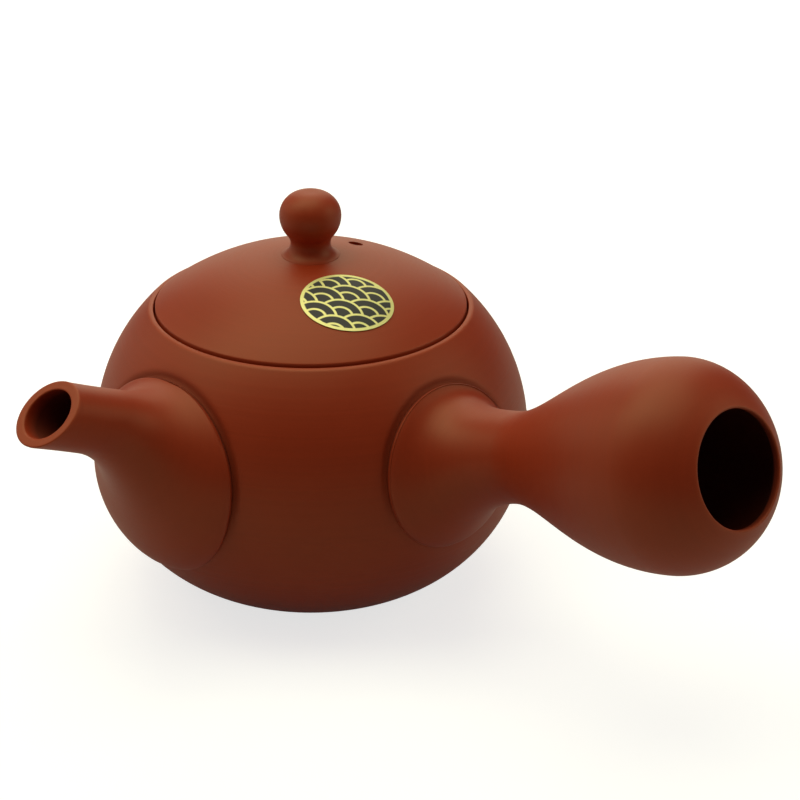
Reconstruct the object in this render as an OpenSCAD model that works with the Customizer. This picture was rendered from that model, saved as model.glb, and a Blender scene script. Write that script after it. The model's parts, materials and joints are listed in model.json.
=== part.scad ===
// Side-handled clay teapot: a thrown pot with a drop-in lid, a luted spout and a luted hollow handle.
// Millimetres, +Z up. The origin is the centre of the foot on the table, the spout points along -X.

/* [Pot] */
// Greatest diameter of the pot
body_d = 94; // [88:1:102]
// Height of the greatest diameter above the table
belly_h = 32.4; // [30:0.2:35]
// Diameter of the flat foot
foot_d = 48.4; // [42:0.2:56]
// Height of the rim round the lid
rim_h = 61.6; // [59:0.2:64]
// Width of the land on top of the rim
rim_w = 0.9; // [0.7:0.1:1.6]
// Thickness of the thrown wall
wall = 3; // [2.4:0.1:3.6]
// Thickness of the floor
floor_t = 3.8; // [3:0.1:6]
// Depth of the lid seat below the rim
seat_depth = 2.6; // [2:0.1:3.2]
// Width of the lid seat
seat_w = 3.6; // [2.6:0.1:4.6]
// Thickness of the ledge that forms the lid seat
seat_t = 2.6; // [2:0.1:4]
// Slope of the underside of that ledge, in degrees
seat_slope = 30; // [20:1:45]

/* [Lid] */
// Diameter of the lid over its edge
lid_d = 66.8; // [62:0.2:69]
// Height of the upright side of the lid's edge
lid_edge_h = 2.85; // [2.4:0.05:4.4]
// Rise of the dome above that side
lid_rise = 11.5; // [9:0.05:14]
// Rounding between the side and the dome
lid_edge_r = 0.4; // [0.3:0.1:2]
// Thickness of the lid
lid_t = 3; // [2.2:0.1:4]
// Height of the locating collar under the lid
collar_h = 8.5; // [5:0.5:14]
// Thickness of the collar
collar_t = 2.8; // [2:0.1:4]
// Diameter of the steam hole
vent_d = 3.2; // [2:0.1:5]
// Distance of the steam hole from the lid's axis
vent_out = 13.5; // [11:0.5:20]

/* [Knob] */
// Diameter of the knob's ball
knob_d = 13.2; // [12:0.1:14.4]
// Height of the ball's upper half, which is a little flattened
knob_cap_h = 5.2; // [4.6:0.1:6]
// Height of the knob's top above the crown of the lid
knob_top = 13.75; // [13:0.05:14.6]
// Radius of the hollow under the ball, which runs into the dome and so sets the waist
knob_hollow_r = 2.8; // [2.2:0.1:3.4]

/* [Label] */
// Width of the oval paper label
label_w = 19.8; // [14:0.2:20]
// Height of the oval label, towards the knob
label_h = 17.3; // [12:0.1:18]
// Turn of the label's long side away from the lid's circles, in degrees
label_spin = -14.6; // [-30:0.2:30]
// Thickness of the label's paper
label_t = 0.15; // [0.1:0.01:0.3]
// Distance of the label's centre from the lid's axis
label_out = 19.7; // [18:0.1:20]
// Direction of the label from the lid's axis, in degrees from +X
label_turn = -111; // [-170:1:-10]

/* [Spout] */
// Rise of the spout above level, in degrees
spout_rise = 24.3; // [18:0.1:30]
// Height at which the spout's line meets the pot's axis
spout_axis_h = 26.4; // [24:0.1:29]
// Length from the pot's axis to the middle of the mouth
spout_reach = 80.2; // [76:0.2:90]
// Outer diameter of the spout at its narrowest
spout_d = 13.9; // [12:0.1:15.5]
// Place of the narrowest section along the spout's line
spout_waist_at = 71; // [66:0.5:74]
// Place along the spout's line where its root ends, at the top
spout_root_top = 62; // [60:0.2:64]
// Place along the spout's line where its root ends, at the bottom
spout_root_low = 70.4; // [66:0.2:72]
// Length over which the root bends out, at the top
spout_bend_top = 11; // [9:0.2:13]
// Length over which the root bends out, at the bottom
spout_bend_low = 16.9; // [14:0.1:19]
// Radius of the long hollow curve of the spout's side
spout_curve_r = 400; // [200:10:900]
// Thickness of the spout's wall
spout_wall = 1.75; // [1.4:0.05:2.4]
// Lean of the mouth's cut away from square, towards level, in degrees
mouth_lean = 26; // [0:1:35]
// Rounding of the mouth's edges
spout_lip = 0.35; // [0.2:0.05:0.6]
// Diameter of the skirt that is luted to the pot
spout_skirt_d = 40.8; // [36:0.2:42]
// Height of the middle of that skirt
spout_skirt_h = 35.7; // [34:0.1:37]
// Step of the skirt's edge above the pot, at the top
spout_step_top = 0.9; // [0.5:0.05:1.5]
// Step of the skirt's edge above the pot, at the bottom
spout_step_low = 1.1; // [0.4:0.05:1.5]
// Swell of the skirt above the pot, as a share of its distance from the spout
spout_swell = 0.3; // [0.2:0.01:0.4]
// Share of the way to the spout over which the skirt swells
spout_hug = 0.27; // [0.22:0.01:0.4]

/* [Handle] */
// Angle in plan from the spout round to the handle, in degrees
handle_turn = 90; // [75:1:110]
// Rise of the handle above level, in degrees
handle_rise = 16.4; // [10:0.1:22]
// Height at which the handle's line meets the pot's axis
handle_axis_h = 27.8; // [25:0.1:30]
// Diameter of the handle's neck
neck_d = 19.8; // [18:0.1:24]
// Place of the neck along the handle's line
neck_at = 63.9; // [62:0.1:67]
// Length over which the root bends out towards the pot
neck_bend = 14; // [12:0.2:16]
// Length over which the side keeps the neck's direction
neck_hold = 11.9; // [8:0.1:16]
// Diameter of the handle's bulb
bulb_d = 42.6; // [38:0.2:46]
// Place of the bulb's greatest diameter along the handle's line
bulb_at = 107.3; // [105:0.1:109]
// Length over which the side keeps the bulb's direction
bulb_hold = 19.8; // [15:0.1:24]
// Depth of the end's curve across the handle
end_r = 18; // [17:0.1:20]
// Length of the end's curve along the handle, from the bulb's crest to where the curve would close
end_run = 17.2; // [16:0.1:18.4]
// Radius of the hole in the open end
open_r = 11.6; // [10.4:0.1:12.4]
// Length of that hole's wall along the handle
open_edge = 1.7; // [1.2:0.1:2.4]
// Rounding of the hole's outer edge
open_lip = 0.7; // [0.3:0.1:1]
// Lean of the open end, whose lower edge reaches farther, in degrees
end_lean = 3; // [0:0.5:6]
// Thickness of the handle's wall
handle_wall = 2.8; // [2:0.1:3.6]
// Diameter of the skirt that is luted to the pot
handle_skirt_d = 35.8; // [32:0.2:38]
// Height of the middle of that skirt
handle_skirt_h = 37.9; // [36:0.1:39]
// Step of the skirt's edge above the pot, at the top
handle_step_top = 1; // [0.5:0.05:1.5]
// Step of the skirt's edge above the pot, at the bottom
handle_step_low = 0.35; // [0.3:0.05:1.2]
// Swell of the skirt above the pot, as a share of its distance from the neck
handle_swell = 0.13; // [0.1:0.01:0.3]
// Share of the way to the neck over which the skirt swells
handle_hug = 0.45; // [0.25:0.01:0.5]

/* [Strainer] */
// Height of the middle of the strainer
strainer_h = 38; // [36:0.1:40]
// Diameter of the hole through the pot's wall behind the spout
pour_hole_d = 22; // [18:0.5:24]
// Width of the pot's wall that shows inside the spout round that hole
pour_lip = 1; // [0.6:0.1:2]
// Diameter of the strainer's dome where it meets the wall
strainer_d = 30; // [27:0.5:32]
// Depth of the dome into the pot
strainer_depth = 9; // [7:0.5:11]
// Thickness of the strainer
strainer_t = 2; // [1.6:0.1:2.6]
// Diameter of each pierced hole
pierce_d = 1.6; // [1.2:0.1:1.9]
// Distance between neighbouring holes
pierce_pitch = 2.75; // [2.6:0.05:3]
// Number of rings of holes round the middle one
pierce_rings = 4; // [2:1:4]

/* [Fits] */
// Gap left for slip between luted pieces
lute_gap = 0.1; // [0.05:0.01:0.2]
// Gap round the lid's edge inside the rim
lid_gap = 0.4; // [0.3:0.05:0.8]
// Gap under the lid's edge on its seat
seat_gap = 0.15; // [0.1:0.01:0.3]
// Gap round the lid's collar inside the seat
collar_gap = 0.5; // [0.3:0.05:1]
// Thickness of the glue under the label
glue_gap = 0.06; // [0.05:0.01:0.1]

/* [Hidden] */
$fn = 96;
clay = "#8f452e";
clay_dark = "#6f3220";
label_black = "#1d1b18";
// Overshoot of cutting shapes past the faces that they cut
past = 1;

// Pot: the arcs above and below the belly leave it upright and end on the rim and on the foot
body_r = body_d / 2;
lid_r = lid_d / 2;
recess_r = lid_r + lid_gap;
rim_r = recess_r + rim_w;
shoulder_r = arc_through(body_r - rim_r, rim_h - belly_h);
lower_r = arc_through(body_r - foot_d / 2, belly_h);
seat_h = rim_h - seat_depth;
throat_r = recess_r - seat_w;
ledge_h = seat_h - seat_t;

// Lid: the dome's arc runs into the edge rounding
lid_base_h = seat_h + seat_gap;
lid_side_h = lid_base_h + lid_edge_h;
lid_crown_h = lid_side_h + lid_rise;
edge_in = lid_r - lid_edge_r;
dome_r = (edge_in * edge_in + lid_rise * lid_rise - lid_edge_r * lid_edge_r) / (2 * (lid_rise - lid_edge_r));
dome_h = lid_crown_h - dome_r;
dome_end = atan2(lid_side_h - dome_h, edge_in);
collar_r = throat_r - collar_gap;

// Knob: a half ball below a flattened cap, and a hollow that touches both the ball and the dome
ball_r = knob_d / 2;
cap_mid = ball_r - knob_cap_h;
ball_h = lid_crown_h + knob_top - knob_cap_h;
ball_up = ball_h - dome_h;
dome_reach = dome_r + knob_hollow_r;
ball_reach = ball_r + knob_hollow_r;
hollow_up = (dome_reach * dome_reach - ball_reach * ball_reach + ball_up * ball_up) / (2 * ball_up);
hollow_out = sqrt(dome_reach * dome_reach - hollow_up * hollow_up);
hollow_h = dome_h + hollow_up;
waist_a = atan2(hollow_h - ball_h, hollow_out);
// The foot's edge ends this many degrees before the hollow touches the dome, so that it isn't a feather
foot_open = 18;
foot_a = 180 + atan2(hollow_up, hollow_out) - foot_open;

// Spout and handle roots: points round each root, steps from its skirt to its neck and steps under it
root_sides = 48;
root_steps = 10;
under_steps = 4;
turns = [for (i = [0:root_sides - 1]) 360 * i / root_sides];
// Sections of the spout's tube between its root and its mouth
tube_steps = 4;
// Share of the way to the neck over which the hollow of a root keeps to the pot
hollow_hug = 0.45;
bore_r = spout_d / 2 - spout_wall;
handle_foot = neck_at - neck_bend;
neck_bore_r = neck_d / 2 - handle_wall;
// Middle of the handle root's hollow where it meets the pot
handle_hole_h = handle_axis_h + body_d / 2 * sin(handle_rise);

// Handle: one cubic runs from the neck to the bulb's crest, and the end's arc goes on from there
neck_r = neck_d / 2;
crest_r = bulb_d / 2;
handle_side = [
    [neck_r, neck_at],
    [neck_r, neck_at + neck_hold],
    [crest_r, bulb_at - bulb_hold],
    [crest_r, bulb_at]
];
side_steps = 12;
end_mid = crest_r - end_r;
// The end's oval stops at this angle, and a small rounding leads from there into the hole
open_a = acos((open_r + open_lip - end_mid) / end_r);
open_at = bulb_at + end_run * (sin(open_a) + open_lip * cos(open_a) / (end_r * sin(open_a)));
// The inner oval ends at the back of the hole's wall
within_r = end_r - handle_wall;
within_a = acos((open_r - end_mid) / within_r);
within_run = (open_at - open_edge - bulb_at) / sin(within_a);

// Strainer: a cap of a sphere whose middle lies outside the wall
inner_r = wall_r(strainer_h) - wall;
cap_r = (strainer_d * strainer_d / 4 + strainer_depth * strainer_depth) / (2 * strainer_depth);
cap_out = inner_r - strainer_depth + cap_r;

// Radius of the arc that starts upright and moves in by "over" while it climbs "up"
function arc_through(over, up) = (over * over + up * up) / (2 * over);

// Growth of a hollow curve of radius r at a distance d from its waist
function hollow_gain(d, r) = r - sqrt(r * r - d * d);

// Points along an arc, from angle a0 to a1 in steps of at most "step" degrees
function arc(mid, r, a0, a1, step = 3) =
    let (n = ceil(abs(a1 - a0) / step))
    [for (i = [0:n]) mid + r * [cos(a0 + (a1 - a0) * i / n), sin(a0 + (a1 - a0) * i / n)]];

// Points along an oval, from angle a0 to a1 in steps of at most "step" degrees
function oval(mid, rx, ry, a0, a1, step) =
    let (n = ceil(abs(a1 - a0) / step))
    [for (i = [0:n]) mid + [rx * cos(a0 + (a1 - a0) * i / n), ry * sin(a0 + (a1 - a0) * i / n)]];

// Points of a rounded corner between two ends
function corner(from, tip, to, n) =
    [for (i = [0:n]) let (u = i / n) (1 - u) * (1 - u) * from + 2 * u * (1 - u) * tip + u * u * to];

// Points without those that repeat the one before
function joined(pts) = [for (i = [0:len(pts) - 1]) if (i == 0 || norm(pts[i] - pts[i - 1]) > 0.01) pts[i]];

// Radius of the pot's outside at a height
function wall_r(h) =
    let (r = h > belly_h ? shoulder_r : lower_r)
    body_r - r + sqrt(r * r - pow(h - belly_h, 2));

// Point on the pot's outside towards +X, at a side offset and a height, moved out by "rise"
function on_wall(side, h, rise) =
    let (
        r = wall_r(h),
        x = sqrt(r * r - side * side),
        mid = body_r - (h > belly_h ? shoulder_r : lower_r),
        out = [x * (1 - mid / r), side * (1 - mid / r), h - belly_h]
    )
    [x, side, h] + rise * out / norm(out);

// Point of a round section at a length along a line that rises from the pot's axis
function on_line(axis_h, rise, along, r, a) =
    [0, 0, axis_h] + along * [cos(rise), 0, sin(rise)] + r * [-sin(rise) * cos(a), sin(a), cos(rise) * cos(a)];

// Point on a cubic curve with four control points
function cubic(p, s) =
    pow(1 - s, 3) * p[0] + 3 * s * pow(1 - s, 2) * p[1] + 3 * s * s * (1 - s) * p[2] + pow(s, 3) * p[3];

// Value at an angle round a root that is "top" at the top and "low" at the bottom
function round_root(top, low, a) = low + (top - low) * (1 + cos(a)) / 2;

// Ring of points round a skirt on the pot towards +X, "top" above the pot at the top and "low" at the bottom
function skirt_ring(d, h, top, low) =
    [for (a = turns) on_wall(d / 2 * sin(a), h + d / 2 * cos(a), round_root(top, low, a))];

// Ring of points round a section of a rising line
function neck_ring(axis_h, rise, along, r) = [for (a = turns) on_line(axis_h, rise, along, r, a)];

// Rings of a flare that leaves a skirt's edge along the pot, swells a little above it, makes for the foot ring
// and ends on the join ring, both of which lie round the neck's line
function flare(edge, swell, hug, foot, join) =
    let (
        near = edge + hug * (foot - edge),
        lifted = [
            for (i = [0:root_sides - 1])
                on_wall(near[i][1], near[i][2], lute_gap + swell * norm(foot[i] - edge[i]))
        ]
    )
    [
        for (k = [0:root_steps])
            [for (i = [0:root_sides - 1]) cubic([edge[i], lifted[i], foot[i], join[i]], k / root_steps)]
    ];

// Rings across the underside of a root, from its hollow out to its skirt, a slip's gap above the pot
function underside(d0, h0, d1, h1) = [
    for (k = [1:under_steps])
        skirt_ring(d0 + (d1 - d0) * k / under_steps, h0 + (h1 - h0) * k / under_steps, lute_gap, lute_gap)
];

function reversed(list) = [for (i = [len(list) - 1:-1:0]) list[i]];

// Solid skinned over rings of points, the last ring joined to the first
module ring_loft(rings) {
    count = len(rings);
    function at(k, i) = (k % count) * root_sides + i % root_sides;
    polyhedron(
        [for (ring = rings) each ring],
        [
            for (k = [0:count - 1], i = [0:root_sides - 1])
                each [[at(k, i), at(k, i + 1), at(k + 1, i)], [at(k, i + 1), at(k + 1, i + 1), at(k + 1, i)]]
        ],
        convexity = 6
    );
}

// Point of the handle's side, moved in by "inset" square to the side
function handle_wall_point(s, inset) =
    let (
        p = handle_side,
        run = pow(1 - s, 2) * (p[1] - p[0]) + 2 * s * (1 - s) * (p[2] - p[1]) + s * s * (p[3] - p[2])
    )
    cubic(p, s) + inset * [-run[1], run[0]] / norm(run);

// Half section of the pot's outside, moved out by "grow", down to a height
module pot_half(grow, from_h) {
    tall = rim_h + body_r;
    intersection() {
        union() {
            intersection() {
                translate([body_r - shoulder_r, belly_h]) circle(shoulder_r + grow);
                translate([0, belly_h]) square([body_d, tall]);
            }
            intersection() {
                translate([body_r - lower_r, belly_h]) circle(lower_r + grow);
                translate([0, belly_h - tall]) square([body_d, tall]);
            }
            translate([0, belly_h]) square([throat_r, rim_h - belly_h]);
            translate([0, belly_h - lower_r - grow]) square([body_r - lower_r, lower_r + grow]);
        }
        translate([0, from_h]) square([body_d, tall]);
    }
}

// Room inside the pot up to the ledge, moved out by "grow"
module pot_room(grow) {
    rotate_extrude() intersection() {
        pot_half(grow - wall, floor_t);
        ledge_foot = ledge_h - (body_r - throat_r) * tan(seat_slope);
        polygon([[0, 0], [body_r, 0], [body_r, ledge_foot], [throat_r, ledge_h], [0, ledge_h]]);
    }
}

module pot_body() {
    color(clay) difference() {
        rotate_extrude() intersection() {
            pot_half(0, 0);
            square([body_d, rim_h]);
        }
        pot_room(0);
        translate([0, 0, ledge_h - past]) cylinder(r = throat_r, h = seat_depth + seat_t + 2 * past);
        translate([0, 0, seat_h]) cylinder(r = recess_r, h = seat_depth + past);
        translate([0, 0, strainer_h]) rotate([0, -90, 0]) cylinder(d = pour_hole_d, h = body_d);
    }
}

module spout() {
    function side_r(t) = spout_d / 2 + hollow_gain(t - spout_waist_at, spout_curve_r);
    function on_spout(t, r, a) = on_line(spout_axis_h, spout_rise, t, r, a);
    function root_at(a) = round_root(spout_root_top, spout_root_low, a);
    function bend_at(a) = round_root(spout_bend_top, spout_bend_low, a);
    function mouth_at(r, a) = spout_reach - r * cos(a) * tan(mouth_lean);
    lip_out = side_r(spout_reach);
    // Section of the tube, a share of the way from its root to its mouth
    function tube(share) = [
        for (a = turns)
            let (t = root_at(a) + (mouth_at(lip_out, a) - root_at(a)) * share)
            on_spout(t, side_r(t), a)
    ];
    // Ring in the plane of the mouth, or a little behind it
    function mouth(r, back) = [for (a = turns) on_spout(mouth_at(r, a) - back, r, a)];
    hole_d = pour_hole_d - 2 * pour_lip;
    outside = flare(skirt_ring(spout_skirt_d, spout_skirt_h, spout_step_top, spout_step_low),
        spout_swell, spout_hug, [for (a = turns) on_spout(root_at(a) - bend_at(a), spout_d / 2, a)], tube(0));
    hollow = flare(skirt_ring(hole_d, strainer_h, lute_gap, lute_gap), 0, hollow_hug,
        [for (a = turns) on_spout(root_at(a) - bend_at(a), bore_r, a)],
        [for (a = turns) on_spout(root_at(a), bore_r, a)]);
    color(clay) rotate([0, 0, 180]) ring_loft(concat(
        outside,
        [for (k = [1:tube_steps - 1]) tube(k / tube_steps)],
        [mouth(lip_out, spout_lip), mouth(lip_out - spout_lip, 0)],
        [mouth(bore_r + spout_lip, 0), mouth(bore_r, spout_lip)],
        reversed(hollow),
        underside(hole_d, strainer_h, spout_skirt_d, spout_skirt_h)
    ));
}

module handle() {
    function on_neck(t, r) = neck_ring(handle_axis_h, handle_rise, t, r);
    hole_d = 2 * neck_bore_r;
    outside = flare(skirt_ring(handle_skirt_d, handle_skirt_h, handle_step_top, handle_step_low),
        handle_swell, handle_hug, on_neck(handle_foot, neck_r), on_neck(neck_at, neck_r));
    hollow = flare(skirt_ring(hole_d, handle_hole_h, lute_gap, lute_gap), 0, hollow_hug,
        on_neck(handle_foot, neck_bore_r), on_neck(neck_at, neck_bore_r));
    end = [end_mid, bulb_at];
    // Half section of the bulb, from the neck out to the open end and back inside
    bulb = joined(concat(
        [for (k = [0:side_steps]) handle_wall_point(k / side_steps, 0)],
        oval(end, end_r, end_run, 0, open_a, 6),
        corner([open_r + open_lip, bulb_at + end_run * sin(open_a)], [open_r, open_at],
            [open_r, open_at - open_lip], 3),
        oval(end, within_r, within_run, within_a, 0, 8),
        [for (k = [side_steps:-2:0]) handle_wall_point(k / side_steps, handle_wall)]
    ));
    // Lean of the section at each place: none as far as the crest, full at the open end
    function lean(t) = end_lean * max(0, t - bulb_at) / (open_at - bulb_at);
    color(clay) rotate([0, 0, 180 + handle_turn]) ring_loft(concat(
        outside,
        [
            for (i = [1:len(bulb) - 2])
                let (r = bulb[i][0], t = bulb[i][1])
                [for (a = turns) on_line(handle_axis_h, handle_rise, t - r * cos(a) * tan(lean(t)), r, a)]
        ],
        reversed(hollow),
        underside(hole_d, handle_hole_h, handle_skirt_d, handle_skirt_h)
    ));
}

// One pierced hole of the strainer, leaning from the dome's middle line and turned round it
module pierced(lean, turn) {
    rotate([turn, 0, 0]) rotate([0, 90 - lean, 0]) translate([0, 0, cap_r - strainer_t - past])
        cylinder(d = pierce_d, h = strainer_t + 2 * past);
}

module strainer() {
    color(clay_dark) intersection() {
        pot_room(-lute_gap);
        translate([-cap_out, 0, strainer_h]) difference() {
            sphere(cap_r, $fn = 180);
            sphere(cap_r - strainer_t, $fn = 180);
            pierced(0, 0);
            for (ring = [1:pierce_rings], i = [0:6 * ring - 1])
                pierced(ring * pierce_pitch / cap_r * 180 / PI, 60 * i / ring);
        }
    }
}

module lid() {
    under_r = dome_r - lid_t;
    collar_in = collar_r - collar_t;
    outline = joined(concat(
        arc([0, dome_h], dome_r, 90, dome_end),
        arc([edge_in, lid_side_h], lid_edge_r, dome_end, 0),
        [[lid_r, lid_base_h], [collar_r, lid_base_h], [collar_r, lid_base_h - collar_h]],
        [[collar_in, lid_base_h - collar_h]],
        arc([0, dome_h], under_r, acos(collar_in / under_r), 90)
    ));
    color(clay) difference() {
        rotate_extrude() polygon(outline);
        translate([vent_out, 0, lid_base_h]) cylinder(d = vent_d, h = lid_rise + lid_edge_h);
    }
}

module lid_knob() {
    foot_r = hollow_out + knob_hollow_r * cos(foot_a);
    foot_h = lid_crown_h - knob_hollow_r;
    outline = joined(concat(
        [[0, ball_h + knob_cap_h]],
        arc([cap_mid, ball_h], knob_cap_h, 90, 0),
        arc([0, ball_h], ball_r, 0, waist_a),
        arc([hollow_out, hollow_h], knob_hollow_r, 180 + waist_a, foot_a),
        [[foot_r, foot_h], [0, foot_h]]
    ));
    color(clay) difference() {
        rotate_extrude() polygon(outline);
        translate([0, 0, dome_h]) sphere(dome_r + lute_gap);
    }
}

module lid_label() {
    lean = asin(label_out / dome_r);
    color(label_black) translate([0, 0, dome_h]) rotate([0, lean, label_turn]) intersection() {
        difference() {
            sphere(dome_r + glue_gap + label_t);
            sphere(dome_r + glue_gap);
        }
        rotate([0, 0, label_spin]) linear_extrude(2 * dome_r)
            polygon([for (a = [0:5:355]) [label_h / 2 * cos(a), label_w / 2 * sin(a)]]);
    }
}

pot_body();
spout();
handle();
strainer();
lid();
lid_knob();
lid_label();
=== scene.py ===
"""Looks of a side-handled clay teapot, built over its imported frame.

Every surface is worked out in millimetres as whole numpy arrays, from sizes close to those of the solids,
and is put into its mesh in metres. The pot, spout, handle and strainer ride on the body "pot", and the lid,
its knob and its paper label ride on the body "lid".
"""

from __future__ import annotations

import json
import logging
import math
from collections.abc import Callable
from dataclasses import dataclass, field
from enum import Enum

import bpy
import numpy as np
from mathutils import Matrix, Vector

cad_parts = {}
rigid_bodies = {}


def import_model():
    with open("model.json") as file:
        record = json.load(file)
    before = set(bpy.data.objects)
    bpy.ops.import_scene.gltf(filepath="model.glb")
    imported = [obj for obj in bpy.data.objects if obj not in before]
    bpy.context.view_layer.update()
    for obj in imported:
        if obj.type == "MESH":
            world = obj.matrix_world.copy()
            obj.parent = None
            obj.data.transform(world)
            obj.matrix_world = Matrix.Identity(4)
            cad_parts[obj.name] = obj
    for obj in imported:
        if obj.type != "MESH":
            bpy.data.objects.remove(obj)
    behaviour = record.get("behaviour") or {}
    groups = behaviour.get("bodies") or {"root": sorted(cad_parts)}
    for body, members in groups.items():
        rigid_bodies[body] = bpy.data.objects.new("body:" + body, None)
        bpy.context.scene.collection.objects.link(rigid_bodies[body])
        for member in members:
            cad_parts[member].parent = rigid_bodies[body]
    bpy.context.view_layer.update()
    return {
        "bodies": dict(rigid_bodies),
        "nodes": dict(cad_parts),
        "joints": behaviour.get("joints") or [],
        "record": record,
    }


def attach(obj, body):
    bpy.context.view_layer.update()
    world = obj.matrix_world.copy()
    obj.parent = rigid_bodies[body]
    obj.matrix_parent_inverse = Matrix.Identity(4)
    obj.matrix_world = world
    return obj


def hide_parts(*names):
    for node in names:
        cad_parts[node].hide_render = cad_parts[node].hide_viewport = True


LOG = logging.getLogger("teapot")
# One millimetre in metres, the angle from which an edge is sharp, and the sides of a drilled hole
MM = 0.001
SHARP = math.radians(40)
HOLE_SIDES = 64
Array = np.ndarray
Triple = tuple[float, float, float]


class Body(Enum):
    """The moving bodies of the frame."""

    POT = "pot"
    LID = "lid"


class Slot(Enum):
    """Names of the record's material slots."""

    CLAY = "clay"
    LABEL = "label_paper"


class Turned(Enum):
    """How the lines of turning run on a piece."""

    HEIGHT = "round an upright axis, one ring at each height"
    RADIUS = "round an upright axis, one ring at each radius"
    LINE = "round a rising line, one ring at each length along it"


# Plane and grid helpers


def cos_sin(degrees: float) -> tuple[float, float]:
    """Cosine and sine of an angle in degrees."""
    a = math.radians(degrees)
    return math.cos(a), math.sin(a)


def arc(mid: tuple[float, float], radius: float, start: float, stop: float, step: float = 0.6) -> Array:
    """Points of a circular arc: mid + radius (cos a, sin a), with a running evenly from start to stop.

    Args:
        mid: Centre of the circle.
        radius: Radius of the circle.
        start: First angle in degrees.
        stop: Last angle in degrees.
        step: Longest distance between neighbouring points.

    Returns:
        An array of points, one a row.
    """
    span = math.radians(abs(stop - start)) * radius
    count = max(2, int(math.ceil(span / step)))
    a = np.radians(np.linspace(start, stop, count + 1))
    return np.stack([mid[0] + radius * np.cos(a), mid[1] + radius * np.sin(a)], axis=1)


def oval(
    mid: tuple[float, float], across: float, along: float, start: float, stop: float, step: float
) -> Array:
    """Points of an oval: mid + (across cos a, along sin a), with a running evenly from start to stop.

    Args:
        mid: Centre of the oval.
        across: Half width on the first axis.
        along: Half width on the second axis.
        start: First angle in degrees.
        stop: Last angle in degrees.
        step: Longest distance between neighbouring points, about.

    Returns:
        An array of points, one a row.
    """
    return np.array(mid) + arc((0, 0), 1.0, start, stop, step / across) * [across, along]


def cubic(p0: Array, p1: Array, p2: Array, p3: Array, s: Array) -> Array:
    """Points of cubic curves: the cubic Bernstein sum of four control points.

    Args:
        p0: First control point, or an array of them.
        p1: Second control point, or an array of them.
        p2: Third control point, or an array of them.
        p3: Last control point, or an array of them.
        s: Parameters from 0 to 1, shaped to spread over the control points.

    Returns:
        The points, one for each parameter and control point.
    """
    q = 1 - s
    return q**3 * p0 + 3 * s * q**2 * p1 + 3 * s**2 * q * p2 + s**3 * p3


def softened(corner: Array, before: Array, after: Array, radius: float, count: int = 5) -> Array:
    """Rounded corner: a quadratic curve that leaves and reaches the corner's sides "radius" away from it.

    Args:
        corner: Corner points.
        before: Points on the side before the corner.
        after: Points on the side after the corner.
        radius: Distance of the curve's ends from the corner.
        count: Number of steps on the curve.

    Returns:
        An array with the steps of the curve along its first axis.
    """
    a = before - corner
    b = after - corner
    a = corner + radius * a / np.linalg.norm(a, axis=-1, keepdims=True)
    b = corner + radius * b / np.linalg.norm(b, axis=-1, keepdims=True)
    u = np.linspace(0, 1, count + 1).reshape((-1,) + (1,) * corner.ndim)
    return (1 - u) ** 2 * a + 2 * u * (1 - u) * corner + u**2 * b


@dataclass
class Outline:
    """Half section of a turned piece, from the axis to the axis, as radius and height."""

    runs: list[Array] = field(default_factory=list)
    corners: list[tuple[int, float]] = field(default_factory=list)

    def run(self, points: Array) -> "Outline":
        """Adds a smooth run of points and returns the outline."""
        self.runs.append(np.asarray(points, float))
        return self

    def to(self, radius: float, height: float, soft: float = 0.3) -> "Outline":
        """Adds one corner.

        Args:
            radius: Radius of the corner.
            height: Height of the corner.
            soft: Distance over which it is rounded.

        Returns:
            The outline.
        """
        self.corners.append((len(self.runs), soft))
        self.runs.append(np.array([[radius, height]], float))
        return self

    def points(self, step: float = 0.7) -> Array:
        """Joins the runs, rounds the corners and fills the straight stretches.

        Args:
            step: Longest distance between neighbouring points.

        Returns:
            An array of radius and height, one point a row.
        """
        soft = dict(self.corners)
        done: list[Array] = []
        for i, run in enumerate(self.runs):
            if i in soft and 0 < i < len(self.runs) - 1 and soft[i] > 0:
                run = softened(run[0], self.runs[i - 1][-1], self.runs[i + 1][0], soft[i])
            done.append(run)
        line = np.concatenate(done)
        gap = np.linalg.norm(np.diff(line, axis=0), axis=1)
        keep = np.concatenate([[True], gap > 1e-4])
        line = line[keep]
        gap = np.linalg.norm(np.diff(line, axis=0), axis=1)
        parts = np.maximum(1, np.ceil(gap / step)).astype(int)
        at = np.repeat(np.arange(len(parts)), parts)
        share = np.concatenate([np.arange(n) / n for n in parts])
        filled = line[at] + share[:, None] * (line[at + 1] - line[at])
        return np.concatenate([filled, line[-1:]])


def grid_quads(rows: int, cols: int, close_rows: bool) -> Array:
    """Corner numbers of the faces of a grid whose columns close into rings.

    Args:
        rows: Number of rings.
        cols: Number of points on each ring.
        close_rows: Whether the last ring joins the first.

    Returns:
        An array of four corner numbers a face.
    """
    k = np.arange(rows if close_rows else rows - 1)[:, None]
    i = np.arange(cols)[None, :]
    k1 = (k + 1) % rows
    i1 = (i + 1) % cols
    quads = np.stack(np.broadcast_arrays(k * cols + i, k * cols + i1, k1 * cols + i1, k1 * cols + i), axis=-1)
    return quads.reshape(-1, 4)


def add_mark(mesh: bpy.types.Mesh, name: str, values: Array) -> None:
    """Gives each point of a mesh a named number."""
    mesh.attributes.new(name, "FLOAT", "POINT").data.foreach_set("value", values.astype(np.float32))


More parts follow.
